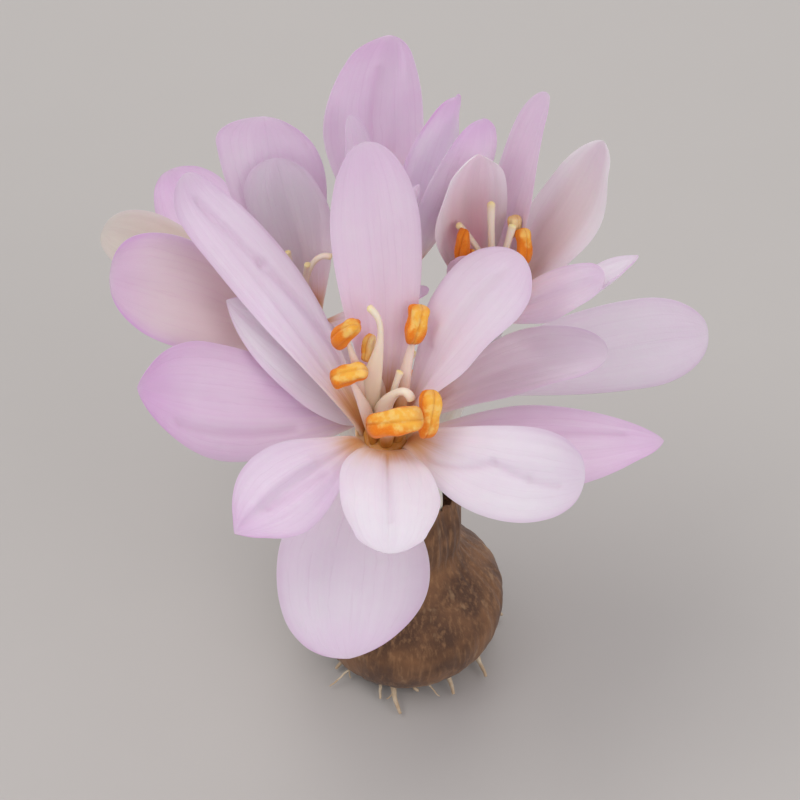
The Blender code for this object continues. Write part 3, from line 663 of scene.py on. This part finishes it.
# Petal finish: nearly white to lilac by tone, rose and cream over it towards the claw, the rose partly
# painted shade, purple at the rim where rim is above 0 and a painted highlight there where it is below
# 0, purple at the tip, faint veins, painted shade along the creases, and a foot in cream and amber
# that is partly its own colour and partly painted shade of the deep heart
def petalFinish():
    paint = Paint("petalSatin", petalTints)
    across, along = paint.chart()
    side = abs(across * 2 - 1)  # 0 on the midrib and 1 at the margins
    marks = ("tone", "pink", "warm", "tip", "rim", "start", "fold")
    tone, pink, warm, tip, rim, start, fold = (paint.mark(name) for name in marks)

    mottle = paint.noise(260, 3)
    drift = paint.noise(110)
    streaks = paint.noise(1, 3, 0.6, paint.join(across * 24 + start, along * 1.7, start))
    cells = paint.noise(3800, 1)
    wander = (paint.noise(180) - 0.5) * 1.1
    vein = (abs((side * 7 + wander).fract() - 0.5) * 2).step(0.74, 1)
    veins = vein * streaks.step(0.4, 0.6) * along.step(0.04, 0.2) * (1 - side.step(0.8, 1))

    lilac = tone * (0.7 + 0.3 * along.step(0.1, 0.9)) + (mottle - 0.5) * 0.16 + (drift - 0.5) * 0.24
    lilac = (lilac + (streaks - 0.5) * (0.16 + 0.2 * tone)).clamped()
    paint.lay(lilac, "lilac")
    low = 1 - along.step(0.25, 0.95) * 0.6
    # rose, most near the claw: partly the petal's own colour and partly painted shade, the pink cast of its
    # shaded inside
    paint.lay((pink * low).clamped(), "roseAndShade")
    paint.lay((warm * (0.5 + 0.5 * low)).clamped(), "cream")

    nearTip = tip * along.step(0.66, 1.02) ** 1.6 * 0.8
    nearRim = (side ** 2).step(0.35, 1) * along.step(0.25, 0.7) * 0.4
    line = side.step(0.86, 1) * along.step(0.35, 0.75) * 0.45
    purple = (nearTip + rim.clamped() * (nearRim + line) * (0.5 + drift)).clamped()
    paint.lay(purple, "purple")
    # a rim below 0: painted highlight along the margin, where the rolled edge catches the light
    paint.lay((rim * -1).clamped() * side.step(0.35, 0.85), "rimHighlight")
    paint.lay(veins * (0.06 + 0.08 * tone), "vein")
    # painted shade along the grooved creases
    paint.lay(fold.clamped() * 0.2, "fold")

    # foot and amber at the claw: partly its own colour and partly painted shade of the deep heart between
    # the filaments
    ragged = along + (streaks - 0.5) * 0.1
    paint.lay((1 - ragged.step(0.05, 0.38)) * 0.8, "foot")
    heartAmberAndShade = (1 - ragged.step(0.07, 0.24)) * (1 - side.step(0.35, 1) * 0.6) * 0.85
    paint.lay(heartAmberAndShade, "heartAmberAndShade")
    height = streaks * 0.8 - veins * 0.3 + cells * 0.3 + mottle * 0.6
    return paint.surface(
        roughness=0.42 + mottle * 0.16,
        bump=(height, 0.00008, 0.6),
        glow=(0.6, (1, 0.66, 0.88), 0.0022),
        others={"Sheen Weight": 0.12, "Sheen Roughness": 0.45, "Specular IOR Level": 0.35},
    )


def addPetals():
    material = petalFinish()
    for place, (key, bloom) in enumerate(blooms.items()):
        for number, (petal, look) in enumerate(zip(petals[key], looks[key]), start=1):
            points, *rest = petalSkin(petal, look, bloom.spread, 100 * place + 10 * number)
            skin = (points + bloom.mouth, *rest)
            addPiece(f"petal_{key}_{number}", [skin], material, [f"tepal_{key}_{number}"])
    print("petals added")


# Stamens

stamenMake = {
    "filamentThick": 0.64 * mm,
    "filamentFlat": 0.68,
    "filamentRows": 30,
    "filamentColumns": 16,
    "handleUp": 0.55,
    "antherRows": 41,
    "antherColumns": 64,
    "antherFat": 0.53,
    "antherDeep": 0.8,
    "box": 3.2,
    "notch": 0.22,
    "notchWidth": 0.12,
    "slit": 0.1,
    "slitAt": 0.1,
    "slitWidth": 0.1,
    "lumps": 0.16,
    "shear": 0.06,
    "curve": 0.035,
    "grain": 0.06 * mm,
    "outward": 0.45,
    "faces": (0, -0.35, 0.8),  # the way the lobes face, besides outward
    # sky: where the painted light comes from; the sides that face it are painted gold and straw
    "sky": (0.45, -0.25, 0.85),  # the way the yellow sides face
}

heartMake = {
    "radius": 2.3 * mm,
    "height": 0.9 * mm,
    "skirt": 0.5 * mm,
    "lobe": 0.07,
    "rows": 14,
    "columns": 48,
}

antherTints = {
    "orange": (0.84, 0.22, 0.006),
    "gold": (0.93, 0.48, 0.06),
    "yellow": (0.95, 0.66, 0.2),
    # straw: painted highlight
    "strawHighlight": (0.88, 0.74, 0.42),
    "grain": (0.94, 0.5, 0.06),
    "groove": (0.64, 0.19, 0.01),
}

# the foot tint is partly the filaments' own colour and partly painted shade of the deep heart
filamentTints = {"cream": (0.86, 0.72, 0.62), "foot": (0.6, 0.26, 0.04), "streak": (0.72, 0.52, 0.36)}


# Filament: a flattened thread along a cubic curve, which swells above its foot and thins to the anther
def filamentSkin(petal, anther, mouth, spread):
    middle = np.array(anther.middle)
    foot = around(math.radians(petal.seat), clump["filamentRing"] * spread, clump["gap"])
    handle = foot * [spread, spread, 1] + [0, 0, stamenMake["handleUp"] * middle[2]]
    t = evenly(stamenMake["filamentRows"])
    path = cubic([foot, handle, middle * [0.85, 0.85, 0.75], middle], t) + mouth
    swell = 0.9 + 0.35 * np.sin(math.pi * held(t / 0.55)) - 0.55 * smooth(t, 0.45, 1)
    radii = stamenMake["filamentThick"] * spread * swell
    return sweep(path, radii, stamenMake["filamentColumns"], stamenMake["filamentFlat"])


# Anther: rings of a rounded box (|c|^p + |s|^p)^(-1/p), pinched between its two lobes and slit at
# their sides, along a slightly curved axis. Its radius is (1 - |w|^6)^0.42 along the length w, and
# its rings slant a little. The mark lit is painted light: the anther's own share of it, plus more
# where it faces the sky.
def antherSkin(anther, mouth, seed):
    make = stamenMake
    axis = direction(math.radians(anther.bearing), math.radians(anther.rise))
    middle = np.array(anther.middle)
    front = make["outward"] * unit(middle * [1, 1, 0]) + make["faces"]
    front = unit(front - (front @ axis) * axis)
    wing = np.cross(axis, front)
    w = np.sin(0.5 * math.pi * np.linspace(-1, 1, make["antherRows"]))[:, None]
    turn = fullTurn(make["antherColumns"])[None, :]
    cosine, sine = np.cos(turn), np.sin(turn)
    box = (np.abs(cosine) ** make["box"] + np.abs(sine) ** make["box"]) ** (-1 / make["box"])
    notch = make["notch"] * np.exp(-((cosine / make["notchWidth"]) ** 2)) * np.where(sine > 0, 1, 0.6)
    slit = make["slit"] * np.exp(-(((np.abs(sine) - make["slitAt"]) / make["slitWidth"]) ** 2))
    end = (1 - np.abs(w) ** 6) ** 0.42
    lumps = make["lumps"] * ripple(w, cosine, seed + 50, 1.3)
    size = make["antherFat"] * anther.length * anther.slimness * box * (1 - notch) * (1 - slit)
    size = size * end * (1 + lumps)
    grain = make["grain"] * ripple(turn * 3, w * 8, seed, 3, 10) * end
    sideways = (size + grain) * cosine + make["shear"] * anther.length * w * sine
    curve = make["curve"] * anther.length * (1 - 2 * w**2)
    forward = (size * make["antherDeep"] + grain) * sine + curve
    length = 0.5 * anther.length * w * (1 + 0.07 * np.abs(cosine))
    points = sideways[..., None] * wing + forward[..., None] * front + length[..., None] * axis
    sky = unit(np.array(make["sky"]))
    # painted light: higher where the anther faces the sky, plus the anther's own share of it
    lit = cosine * (wing @ sky) + sine * (front @ sky) + w * (axis @ sky) * 0.6 + anther.pale
    chart = evenChart(make["antherColumns"], (w[:, 0] + 1) / 2)
    return makeSkin(points + middle + mouth, chart, {"lit": lit})


# Anther finish: deep orange to gold by lit, partly the pollen's own colours and partly painted light,
# the deep orange being painted shade where lit is low, with yellow patches, a painted straw highlight
# where lit is highest, gold grains, and darker at both ends and in the line between the lobes
def antherFinish():
    paint = Paint("antherPollen", antherTints)
    turn, along = paint.chart()
    lit = paint.mark("lit")
    grains = paint.noise(5200)
    patches = paint.noise(800, 3)
    # gold by lit: partly the pollen's own yellow and partly painted light; the deep orange where lit is low
    # is partly its own colour and partly painted shade
    gold = (lit + (patches - 0.5) * 0.8).step(0.25, 0.75)
    paint.lay(gold, "gold")
    paint.lay(patches.step(0.44, 0.6) * (0.05 + 0.6 * gold), "yellow")
    # painted straw highlight where lit is highest
    paint.lay(lit.step(0.9, 1.7) * 0.8, "strawHighlight")
    paint.lay(grains.step(0.5, 0.75) * 0.3, "grain")
    line = 1 - abs(turn - 0.25).step(0.008, 0.035)
    ends = abs(along * 2 - 1).step(0.7, 1) * 0.35
    paint.lay((line * 0.2 + ends).clamped(), "groove")
    return paint.surface(
        roughness=0.62 + grains * 0.25,
        bump=(grains, 0.00009, 0.8),
        glow=(0.15, (1, 0.45, 0.1), 0.0006),
        others={"Sheen Weight": 0.15, "Specular IOR Level": 0.25},
    )


# Filament finish: cream, amber in its lower half, partly its own colour and partly painted shade of the
# deep heart, with faint streaks along it
def filamentFinish():
    paint = Paint("filamentCream", filamentTints)
    along = paint.chart()[1]
    mottle = paint.noise(700, 3)
    streaks = paint.noise(1800, 1, where=paint.stretched(1, 1, 0.2))
    # lower half amber: partly its own colour and partly painted shade of the deep heart
    low = 1 - (along + (mottle - 0.5) * 0.12).step(0.1, 0.55)
    paint.lay(low, "foot")
    paint.lay(streaks.step(0.5, 0.8) * 0.25, "streak")
    return paint.surface(
        roughness=0.38 + mottle * 0.2,
        bump=(streaks, 0.00005, 0.5),
        glow=(0.35, (1, 0.6, 0.35), 0.001),
    )


# The floor of a mouth: a low dome, its radius a sine and its height a cosine to the power 0.8, with
# six soft lobes and a short skirt
def heartSkin(mouth, spread, first):
    share = evenly(heartMake["rows"])
    out, down = np.sin(share * math.pi / 2)[:, None], np.cos(share * math.pi / 2)[:, None]
    turn = fullTurn(heartMake["columns"])[None, :]
    lobes = 1 + heartMake["lobe"] * np.cos(6 * (turn - math.radians(first)))
    dome = clump["gap"] + heartMake["height"] * down**0.8
    height = dome - heartMake["skirt"] * smooth(share, 0.9, 1)[:, None]
    points = around(turn, heartMake["radius"] * spread * out * lobes, height) + mouth
    # along 0 gives the dome the full foot tint of its finish: partly its own colour and partly painted
    # shade of the deep heart
    return makeSkin(points, evenChart(heartMake["columns"], 0 * share))


def addStamens():
    coat = antherFinish()
    thread = filamentFinish()
    for key, bloom in blooms.items():
        mouth = np.array(bloom.mouth)
        heads = [antherSkin(anther, mouth, index) for index, anther in enumerate(anthers[key])]
        pairs = zip(petals[key], anthers[key])
        threads = [filamentSkin(petal, anther, mouth, bloom.spread) for petal, anther in pairs]
        threads.append(heartSkin(mouth, bloom.spread, petals[key][0].seat))
        addPiece(f"anthers_{key}", heads, coat, [f"stamens_{key}"])
        addPiece(f"filaments_{key}", threads, thread, [f"stamens_{key}"])
    print("stamens added")


# Styles

styleMake = {"thick": 0.5 * mm, "flat": 0.8, "stigma": 0.18, "rows": 40, "columns": 14}

styleTints = {"foot": (0.8, 0.64, 0.44), "thread": (0.88, 0.78, 0.62), "stigma": (0.86, 0.72, 0.24)}


# Style: a thread along a cubic curve, as broad as its row says in the lower part and slightly flat
# above, with a slightly swollen and rounded stigma at its tip
def styleSkin(style, mouth):
    above = 2 * clump["gap"] + clump["discHeight"]
    foot = around(math.atan2(style.tip[1], style.tip[0]), clump["styleRing"], above)
    handle = foot + [*style.bow, 0.3 * style.tip[2]]
    t = np.sin(0.5 * math.pi * evenly(styleMake["rows"]))
    path = cubic([foot, handle, style.towards, style.tip], t) + mouth
    radii = styleMake["thick"] * style.thick * (1 + styleMake["stigma"] * smooth(t, 0.8, 0.97))
    radii = radii * np.sqrt(held(1 - smooth(t, 0.975, 1) ** 2))
    broad = style.broad + (styleMake["flat"] - style.broad) * smooth(t, 0.35, 0.75)
    return sweep(path, radii, styleMake["columns"], broad)


# Style finish: cream, browner at the foot, and yellow and rougher at the stigma
def styleFinish():
    paint = Paint("styleWax", styleTints)
    along = paint.chart()[1]
    mottle = paint.noise(800, 3)
    top = (along + (mottle - 0.5) * 0.1).step(0.75, 0.98)
    paint.lay(along.step(0, 0.5), "thread")
    paint.lay(top * 0.8, "stigma")
    papillae = paint.noise(4200, 1)
    return paint.surface(
        roughness=0.36 + top * 0.3,
        bump=(papillae * (0.15 + top), 0.00006, 0.7),
        glow=(0.4, (1, 0.65, 0.35), 0.001),
    )


def addStyles():
    material = styleFinish()
    for key, bloom in blooms.items():
        skins = [styleSkin(style, np.array(bloom.mouth)) for style in styles[key]]
        addPiece(f"threads_{key}", skins, material, [f"styles_{key}"])
    print("styles added")


# Tubes

tubeMake = {
    "rows": 64,
    "columns": 42,
    "ribDepth": 0.05,
    "flareRows": 12,
    "flare": ((0, 0.4, 0.75, 1), (0, 0.25, 0.7, 1)),  # share of the height, of the widening
    "lipOver": 0.2 * mm,
    "lipHeight": 0.7 * mm,
    "lip": ((0.15, 0.12), (0.35, 0), (0.5, -0.4)),  # millimetres inward and up
    "floorDrop": 0.6 * mm,
}

tubeTints = {
    "low": (0.86, 0.83, 0.72),
    "high": (0.84, 0.76, 0.8),
    "line": (0.66, 0.6, 0.62),
    "foot": (0.74, 0.62, 0.38),
    # the lip tint is partly the lip's own colour and partly painted shade of the deep heart
    "lip": (0.74, 0.5, 0.24),
}


# Tube: rings along a cubic curve out of the neck, with six faint cosine ribs and a flare to the
# mouth, then a lip that clasps the claws and a floor inside it
def tubeSkin(bloom, first):
    mouth = np.array(bloom.mouth)
    foot = np.array([*bloom.foot, clump["neckTop"] - clump["holeDepth"] + clump["gap"]])
    top = mouth - [0, 0, clump["mouthHeight"]]
    riseOut = foot + [0, 0, clump["tubeRise"]]
    dropIn = top + [*bloom.bow, -clump["tubeDrop"]]
    stem = cubic([foot, riseOut, dropIn, top], evenly(tubeMake["rows"]))
    rise = np.linspace(0, clump["mouthHeight"] + tubeMake["lipHeight"], tubeMake["flareRows"] + 1)[1:]
    slim = clump["tubeRadius"]
    wide = clump["mouthRadius"] * bloom.spread + tubeMake["lipOver"]
    flare = np.interp(rise / clump["mouthHeight"], *tubeMake["flare"])
    radii = np.concatenate([np.full(len(stem), slim), slim + (wide - slim) * flare])
    path = np.concatenate([stem, top + rise[:, None] * [0, 0, 1]])
    ahead = unit(np.gradient(path, axis=0))
    one = unit(np.cross([0, 1, 0], ahead))
    other = np.cross(ahead, one)
    turn = fullTurn(tubeMake["columns"])
    ripe = np.linspace(0.5, 1, len(path))[:, None]
    ribs = 1 + tubeMake["ribDepth"] * np.cos(6 * (turn - math.radians(first)))[None, :] * ripe
    ring = np.cos(turn)[None, :, None] * one[:, None] + np.sin(turn)[None, :, None] * other[:, None]
    outer = path[:, None] + (radii[:, None] * ribs)[..., None] * ring
    lip = [(wide - inward * mm, up * mm) for inward, up in tubeMake["lip"]]
    lip.append((0, -tubeMake["floorDrop"]))
    inside = [around(turn, radius, tubeMake["lipHeight"] + up)[None] + mouth for radius, up in lip]
    return makeSkin(np.concatenate([outer, *inside]))


# Tube finish: cream white low down and pinkish above, with faint lines, a tan foot and an amber lip that is
# partly its own colour and partly painted shade of the deep heart
def tubeFinish():
    paint = Paint("tubeWax", tubeTints)
    turn, along = paint.chart()
    mottle = paint.noise(500, 3)
    lines = (abs((turn * 18 + (mottle - 0.5) * 0.8).fract() - 0.5) * 2).step(0.7, 1)
    paint.lay(along.step(0.2, 0.85), "high")
    paint.lay(lines * 0.22, "line")
    paint.lay((1 - along.step(0, 0.3)) * 0.35, "foot")
    # amber lip: partly its own colour and partly painted shade of the deep heart
    paint.lay(along.step(0.86, 0.95) * 0.9, "lip")
    return paint.surface(
        roughness=0.34 + mottle * 0.2,
        bump=(lines * -0.5 + mottle, 0.00006, 0.5),
        glow=(0.4, (1, 0.8, 0.6), 0.0015),
    )


def addTubes():
    material = tubeFinish()
    for key, bloom in blooms.items():
        skin = tubeSkin(bloom, petals[key][0].seat)
        addPiece(f"stem_{key}", [skin], material, [f"tube_{key}"])
    print("tubes added")


# Corm and roots

cormMake = {
    "radius": 15.5 * mm,
    "baseRadius": 8 * mm,
    "widest": 11 * mm,
    "shoulder": 25.5 * mm,
    "neckRadius": 8 * mm,
    "sunk": 1.2 * mm,
    "ends": (0.08, 0.38, 0.78, 0.9),  # share of the outline where underside, belly, slope and neck end
    "rows": 130,
    "columns": 220,
    "ridge": 0.22 * mm,
    "fine": 0.05 * mm,
    "sag": 0.35 * mm,
}

sheathMake = {
    "above": 5 * mm,
    "below": 5 * mm,
    "jag": 2.6 * mm,
    "jags": ((3, 0.5), (7, 0.35), (17, 0.22), (31, 0.16)),  # waves round the neck and their shares
    "thick": 0.22 * mm,
    "sunk": 0.35 * mm,
    "stand": 0.95 * mm,
    "lean": 0.9 * mm,
    "flute": 0.35 * mm,
    "crease": 0.12 * mm,
    "columns": 180,
    "rows": 24,
}

rootMake = {
    "count": 13,
    "extra": 26,
    "reach": 8 * mm,
    "thick": 0.5 * mm,
    "sunk": 1.5 * mm,
    "heights": (3 * mm, 3.5 * mm, 2 * mm, 0.8 * mm),  # at the start, bow, droop and end
    "bowAt": 0.4,  # shares of the reach
    "droopAt": 0.8,
    "finerThick": (0.2, 0.38),  # millimetres
    "wriggle": 0.35 * mm,
    "rows": 26,
    "columns": 8,
}

tunicTints = {
    "dark": (0.085, 0.036, 0.016),
    "brown": (0.23, 0.105, 0.042),
    "fibre": (0.36, 0.19, 0.085),
    "flake": (0.42, 0.26, 0.13),
}

rootTints = {"tan": (0.62, 0.47, 0.3), "cream": (0.78, 0.68, 0.5), "tip": (0.45, 0.3, 0.17)}


# Corm outline at the share t: a flat underside, a quarter ellipse out to the widest ring, a cosine
# in to the neck, a straight neck and a sunken top
def cormOutline(t):
    base, wide, neck = cormMake["baseRadius"], cormMake["radius"], cormMake["neckRadius"]
    under, belly, slope, top = cormMake["ends"]
    lower = held((t - under) / (belly - under)) * math.pi / 2
    upper = held((t - belly) / (slope - belly))
    stem = held((t - slope) / (top - slope))
    inward = held((t - top) / (1 - top))
    radius = np.where(t < under, base * t / under, base + (wide - base) * np.sin(lower))
    radius = np.where(t > belly, wide + (neck - wide) * (0.5 - 0.5 * np.cos(math.pi * upper)), radius)
    height = cormMake["widest"] * (1 - np.cos(lower)) + (cormMake["shoulder"] - cormMake["widest"]) * upper
    height = height + (clump["neckTop"] - cormMake["shoulder"]) * stem
    return radius * (1 - inward), height - cormMake["sunk"] * smooth(inward, 0, 0.4)


# Corm: that outline turned round, with ridges |sin|^0.6 and slow sags that push the skin in and out
def cormSkin():
    t = evenly(cormMake["rows"])
    radius, height = cormOutline(t)
    turn, along = np.meshgrid(fullTurn(cormMake["columns"]), t)
    body = smooth(along, 0.1, 0.3) * smooth(1 - along, 0.1, 0.14)
    ridges = np.abs(np.sin(11 * turn + 0.6 * np.sin(3 * along * math.pi) + 1.3 * np.sin(2 * turn))) ** 0.6
    fine = np.sin(47 * turn + 2 * np.sin(5 * along + turn))
    sag = np.cos(2 * turn + 1) * 0.5 + np.cos(3 * turn - 4 * along) * 0.35
    sag = sag + np.cos(5 * turn + 9 * along) * 0.15
    push = body * (cormMake["ridge"] * (ridges - 0.6) + cormMake["fine"] * fine + cormMake["sag"] * sag)
    return makeSkin(around(turn, radius[:, None] + push, height[:, None]))


# Neck sheath: a thin wall that rises out of the corm's skin and follows its outline round the
# neck. Its ragged top edge is a sum of |sin| waves.
def sheathSkin(seed):
    make = sheathMake
    turn = fullTurn(make["columns"])
    draw = np.random.default_rng(seed)
    jag = sum(
        size * np.abs(np.sin(pitch * turn / 2 + draw.uniform(0, 2 * math.pi)))
        for pitch, size in make["jags"]
    )
    top = clump["neckTop"] + make["above"] + make["jag"] * (jag - 0.6)
    bottom = cormMake["shoulder"] - make["below"]
    rows = make["rows"]
    up = np.concatenate([evenly(rows), np.linspace(1, 0, rows)])[:, None]
    side = np.concatenate([np.full(rows, 0.5), np.full(rows, -0.5)])[:, None]
    height = bottom + (top[None, :] - bottom) * up
    belly, neckEnd = cormMake["ends"][1], cormMake["ends"][3]
    radius, level = cormOutline(np.linspace(belly, neckEnd, 200))
    stand = make["stand"] * smooth(up, 0, 0.45) - make["sunk"] - make["lean"] * smooth(up, 0.55, 1)
    flute = make["flute"] * np.sin(9 * turn + seed) * up + make["crease"] * np.sin(31 * turn)
    wall = np.interp(height, level, radius) + stand + flute + side * make["thick"] * (1 - 0.6 * up)
    points = around(turn[None, :], wall, height).transpose(1, 0, 2)
    loop = np.concatenate([points, points[:1]])
    chart = np.meshgrid(np.append(up, up[0]), evenly(len(loop)))
    return makeSkin(loop, np.stack(chart, axis=-1)[..., ::-1])


# Tunic finish: dark to mid brown in blotches, with upright fibres and pale flakes
def tunicFinish():
    paint = Paint("tunicPaper", tunicTints)
    fibres = paint.noise(1500, 4, 0.6, paint.stretched(1, 1, 0.16))
    blotch = paint.noise(140, 4, 0.55)
    flakes = paint.noise(420, 3, where=paint.stretched(1, 1, 0.5))
    paint.lay(blotch.step(0.35, 0.7), "brown")
    paint.lay(fibres.step(0.45, 0.75) * 0.6, "fibre")
    paint.lay(flakes.step(0.62, 0.72) * 0.5, "flake")
    return paint.surface(
        roughness=0.55 + fibres * 0.25,
        bump=(fibres * 0.7 + flakes * 0.5, 0.0003, 0.8),
        others={"Specular IOR Level": 0.4, "Sheen Weight": 0.1},
    )


# Root finish: mottled cream that turns brown towards the tip
def rootFinish():
    paint = Paint("rootCream", rootTints)
    along = paint.chart()[1]
    mottle = paint.noise(900, 3)
    paint.lay(mottle.step(0.35, 0.7), "cream")
    paint.lay(along.step(0.5, 1) * 0.5, "tip")
    return paint.surface(roughness=0.6 + mottle * 0.2, bump=(mottle, 0.0001, 0.6))


# Root: a thread along a cubic curve that leaves the base's edge, bows out and droops to the ground
# with a wriggle. It thins to its tip and is lifted where it would dip below the ground.
def rootSkin(turn, reach, curl, thick, seed):
    base = cormMake["baseRadius"]
    turns = (turn, turn, turn + curl / 2, turn + curl)
    bow, droop = rootMake["bowAt"] * reach, rootMake["droopAt"] * reach
    outs = (base - rootMake["sunk"], base + bow, base + droop, base + reach)
    t = evenly(rootMake["rows"])
    path = cubic([around(*spot) for spot in zip(turns, outs, rootMake["heights"])], t)
    wriggle = np.stack([ripple(t, t, seed, 3), ripple(t, t, seed + 1, 3)], axis=-1)
    path[:, :2] += rootMake["wriggle"] * wriggle * t[:, None]
    radii = thick * (1.3 - 0.85 * t) * (1 + 0.1 * ripple(t, t, seed + 2, 6))
    path[:, 2] = np.maximum(path[:, 2], radii * 1.05)
    return sweep(path, radii, rootMake["columns"])


def addCorm():
    paper = tunicFinish()
    addPiece("cormBody", [cormSkin()], paper, ["corm"])
    addPiece("neckSheath", [sheathSkin(5)], paper)
    draw = np.random.default_rng(21)
    skins = []
    for index in range(rootMake["count"]):
        turn = 2 * math.pi * (index + 0.3 * math.sin(3.7 * index)) / rootMake["count"]
        reach = rootMake["reach"] * (0.8 + 0.3 * math.sin(2.3 * index))
        skins.append(rootSkin(turn, reach, 0.2 * math.sin(5.1 * index), rootMake["thick"], 10 * index))
    for index in range(rootMake["extra"]):
        turn = draw.uniform(0, 2 * math.pi)
        reach = rootMake["reach"] * draw.uniform(0.35, 1.05)
        curl = draw.uniform(-0.5, 0.5)
        thick = draw.uniform(*rootMake["finerThick"]) * mm
        skins.append(rootSkin(turn, reach, curl, thick, 500 + 10 * index))
    addPiece("roots", skins, rootFinish())
    print("corm and roots added")


# Floor, light and camera

stage = {
    "floorSize": 3,
    "floorTints": {"grey": (0.5, 0.48, 0.45), "speck": (0.56, 0.54, 0.51)},
    "worldColour": (0.96, 0.95, 1),
    "worldStrength": 0.6,
    "lightsAim": (0, 0, 0.05),
    "cameraAt": (-0.00087, -0.27299, 0.33841),
    "cameraTilt": 43.95,
    "lens": 119.5,
    "sensor": 36,
    "clipStart": 0.01,
}

# name, place, size, power and colour
lights = (
    ("keyLight", (-0.3, -0.1, 0.75), 0.55, 2, (1, 0.97, 0.97)),
    ("fillLight", (0.45, -0.45, 0.45), 0.6, 1.3, (1, 0.97, 1)),
    ("backLight", (0.1, 0.6, 0.5), 0.5, 1, (1, 0.98, 0.96)),
)


def addFloor():
    half = stage["floorSize"] / 2
    corners = [(-half, -half, 0), (half, -half, 0), (half, half, 0), (-half, half, 0)]
    mesh = bpy.data.meshes.new("floor")
    mesh.from_pydata(corners, [], [(0, 1, 2, 3)])
    paint = Paint("floorPlain", stage["floorTints"])
    paint.lay(paint.noise(60, 3) * 0.15, "speck")
    mesh.materials.append(paint.surface(roughness=0.9))
    addObject("floor", mesh)


def addLight(name, place, size, power, colour):
    lamp = bpy.data.lights.new(name, "AREA")
    lamp.shape = "DISK"
    lamp.size = size
    lamp.energy = power
    lamp.color = colour
    way = Vector(stage["lightsAim"]) - Vector(place)
    addObject(name, lamp, place, way.to_track_quat("-Z", "Y").to_euler())


def addStage():
    addFloor()
    world = bpy.data.worlds.new("sky")
    world.use_nodes = True
    sky = world.node_tree.nodes["Background"]
    sky.inputs["Color"].default_value = (*stage["worldColour"], 1)
    sky.inputs["Strength"].default_value = stage["worldStrength"]
    scene.world = world
    for light in lights:
        addLight(*light)

    lens = bpy.data.cameras.new("camera")
    lens.lens = stage["lens"]
    lens.sensor_width = stage["sensor"]
    lens.clip_start = stage["clipStart"]
    tilt = math.radians(stage["cameraTilt"])
    scene.camera = addObject("camera", lens, stage["cameraAt"], (tilt, 0, 0))
    print("stage set")


addPetals()
addStamens()
addStyles()
addTubes()
addCorm()
addStage()
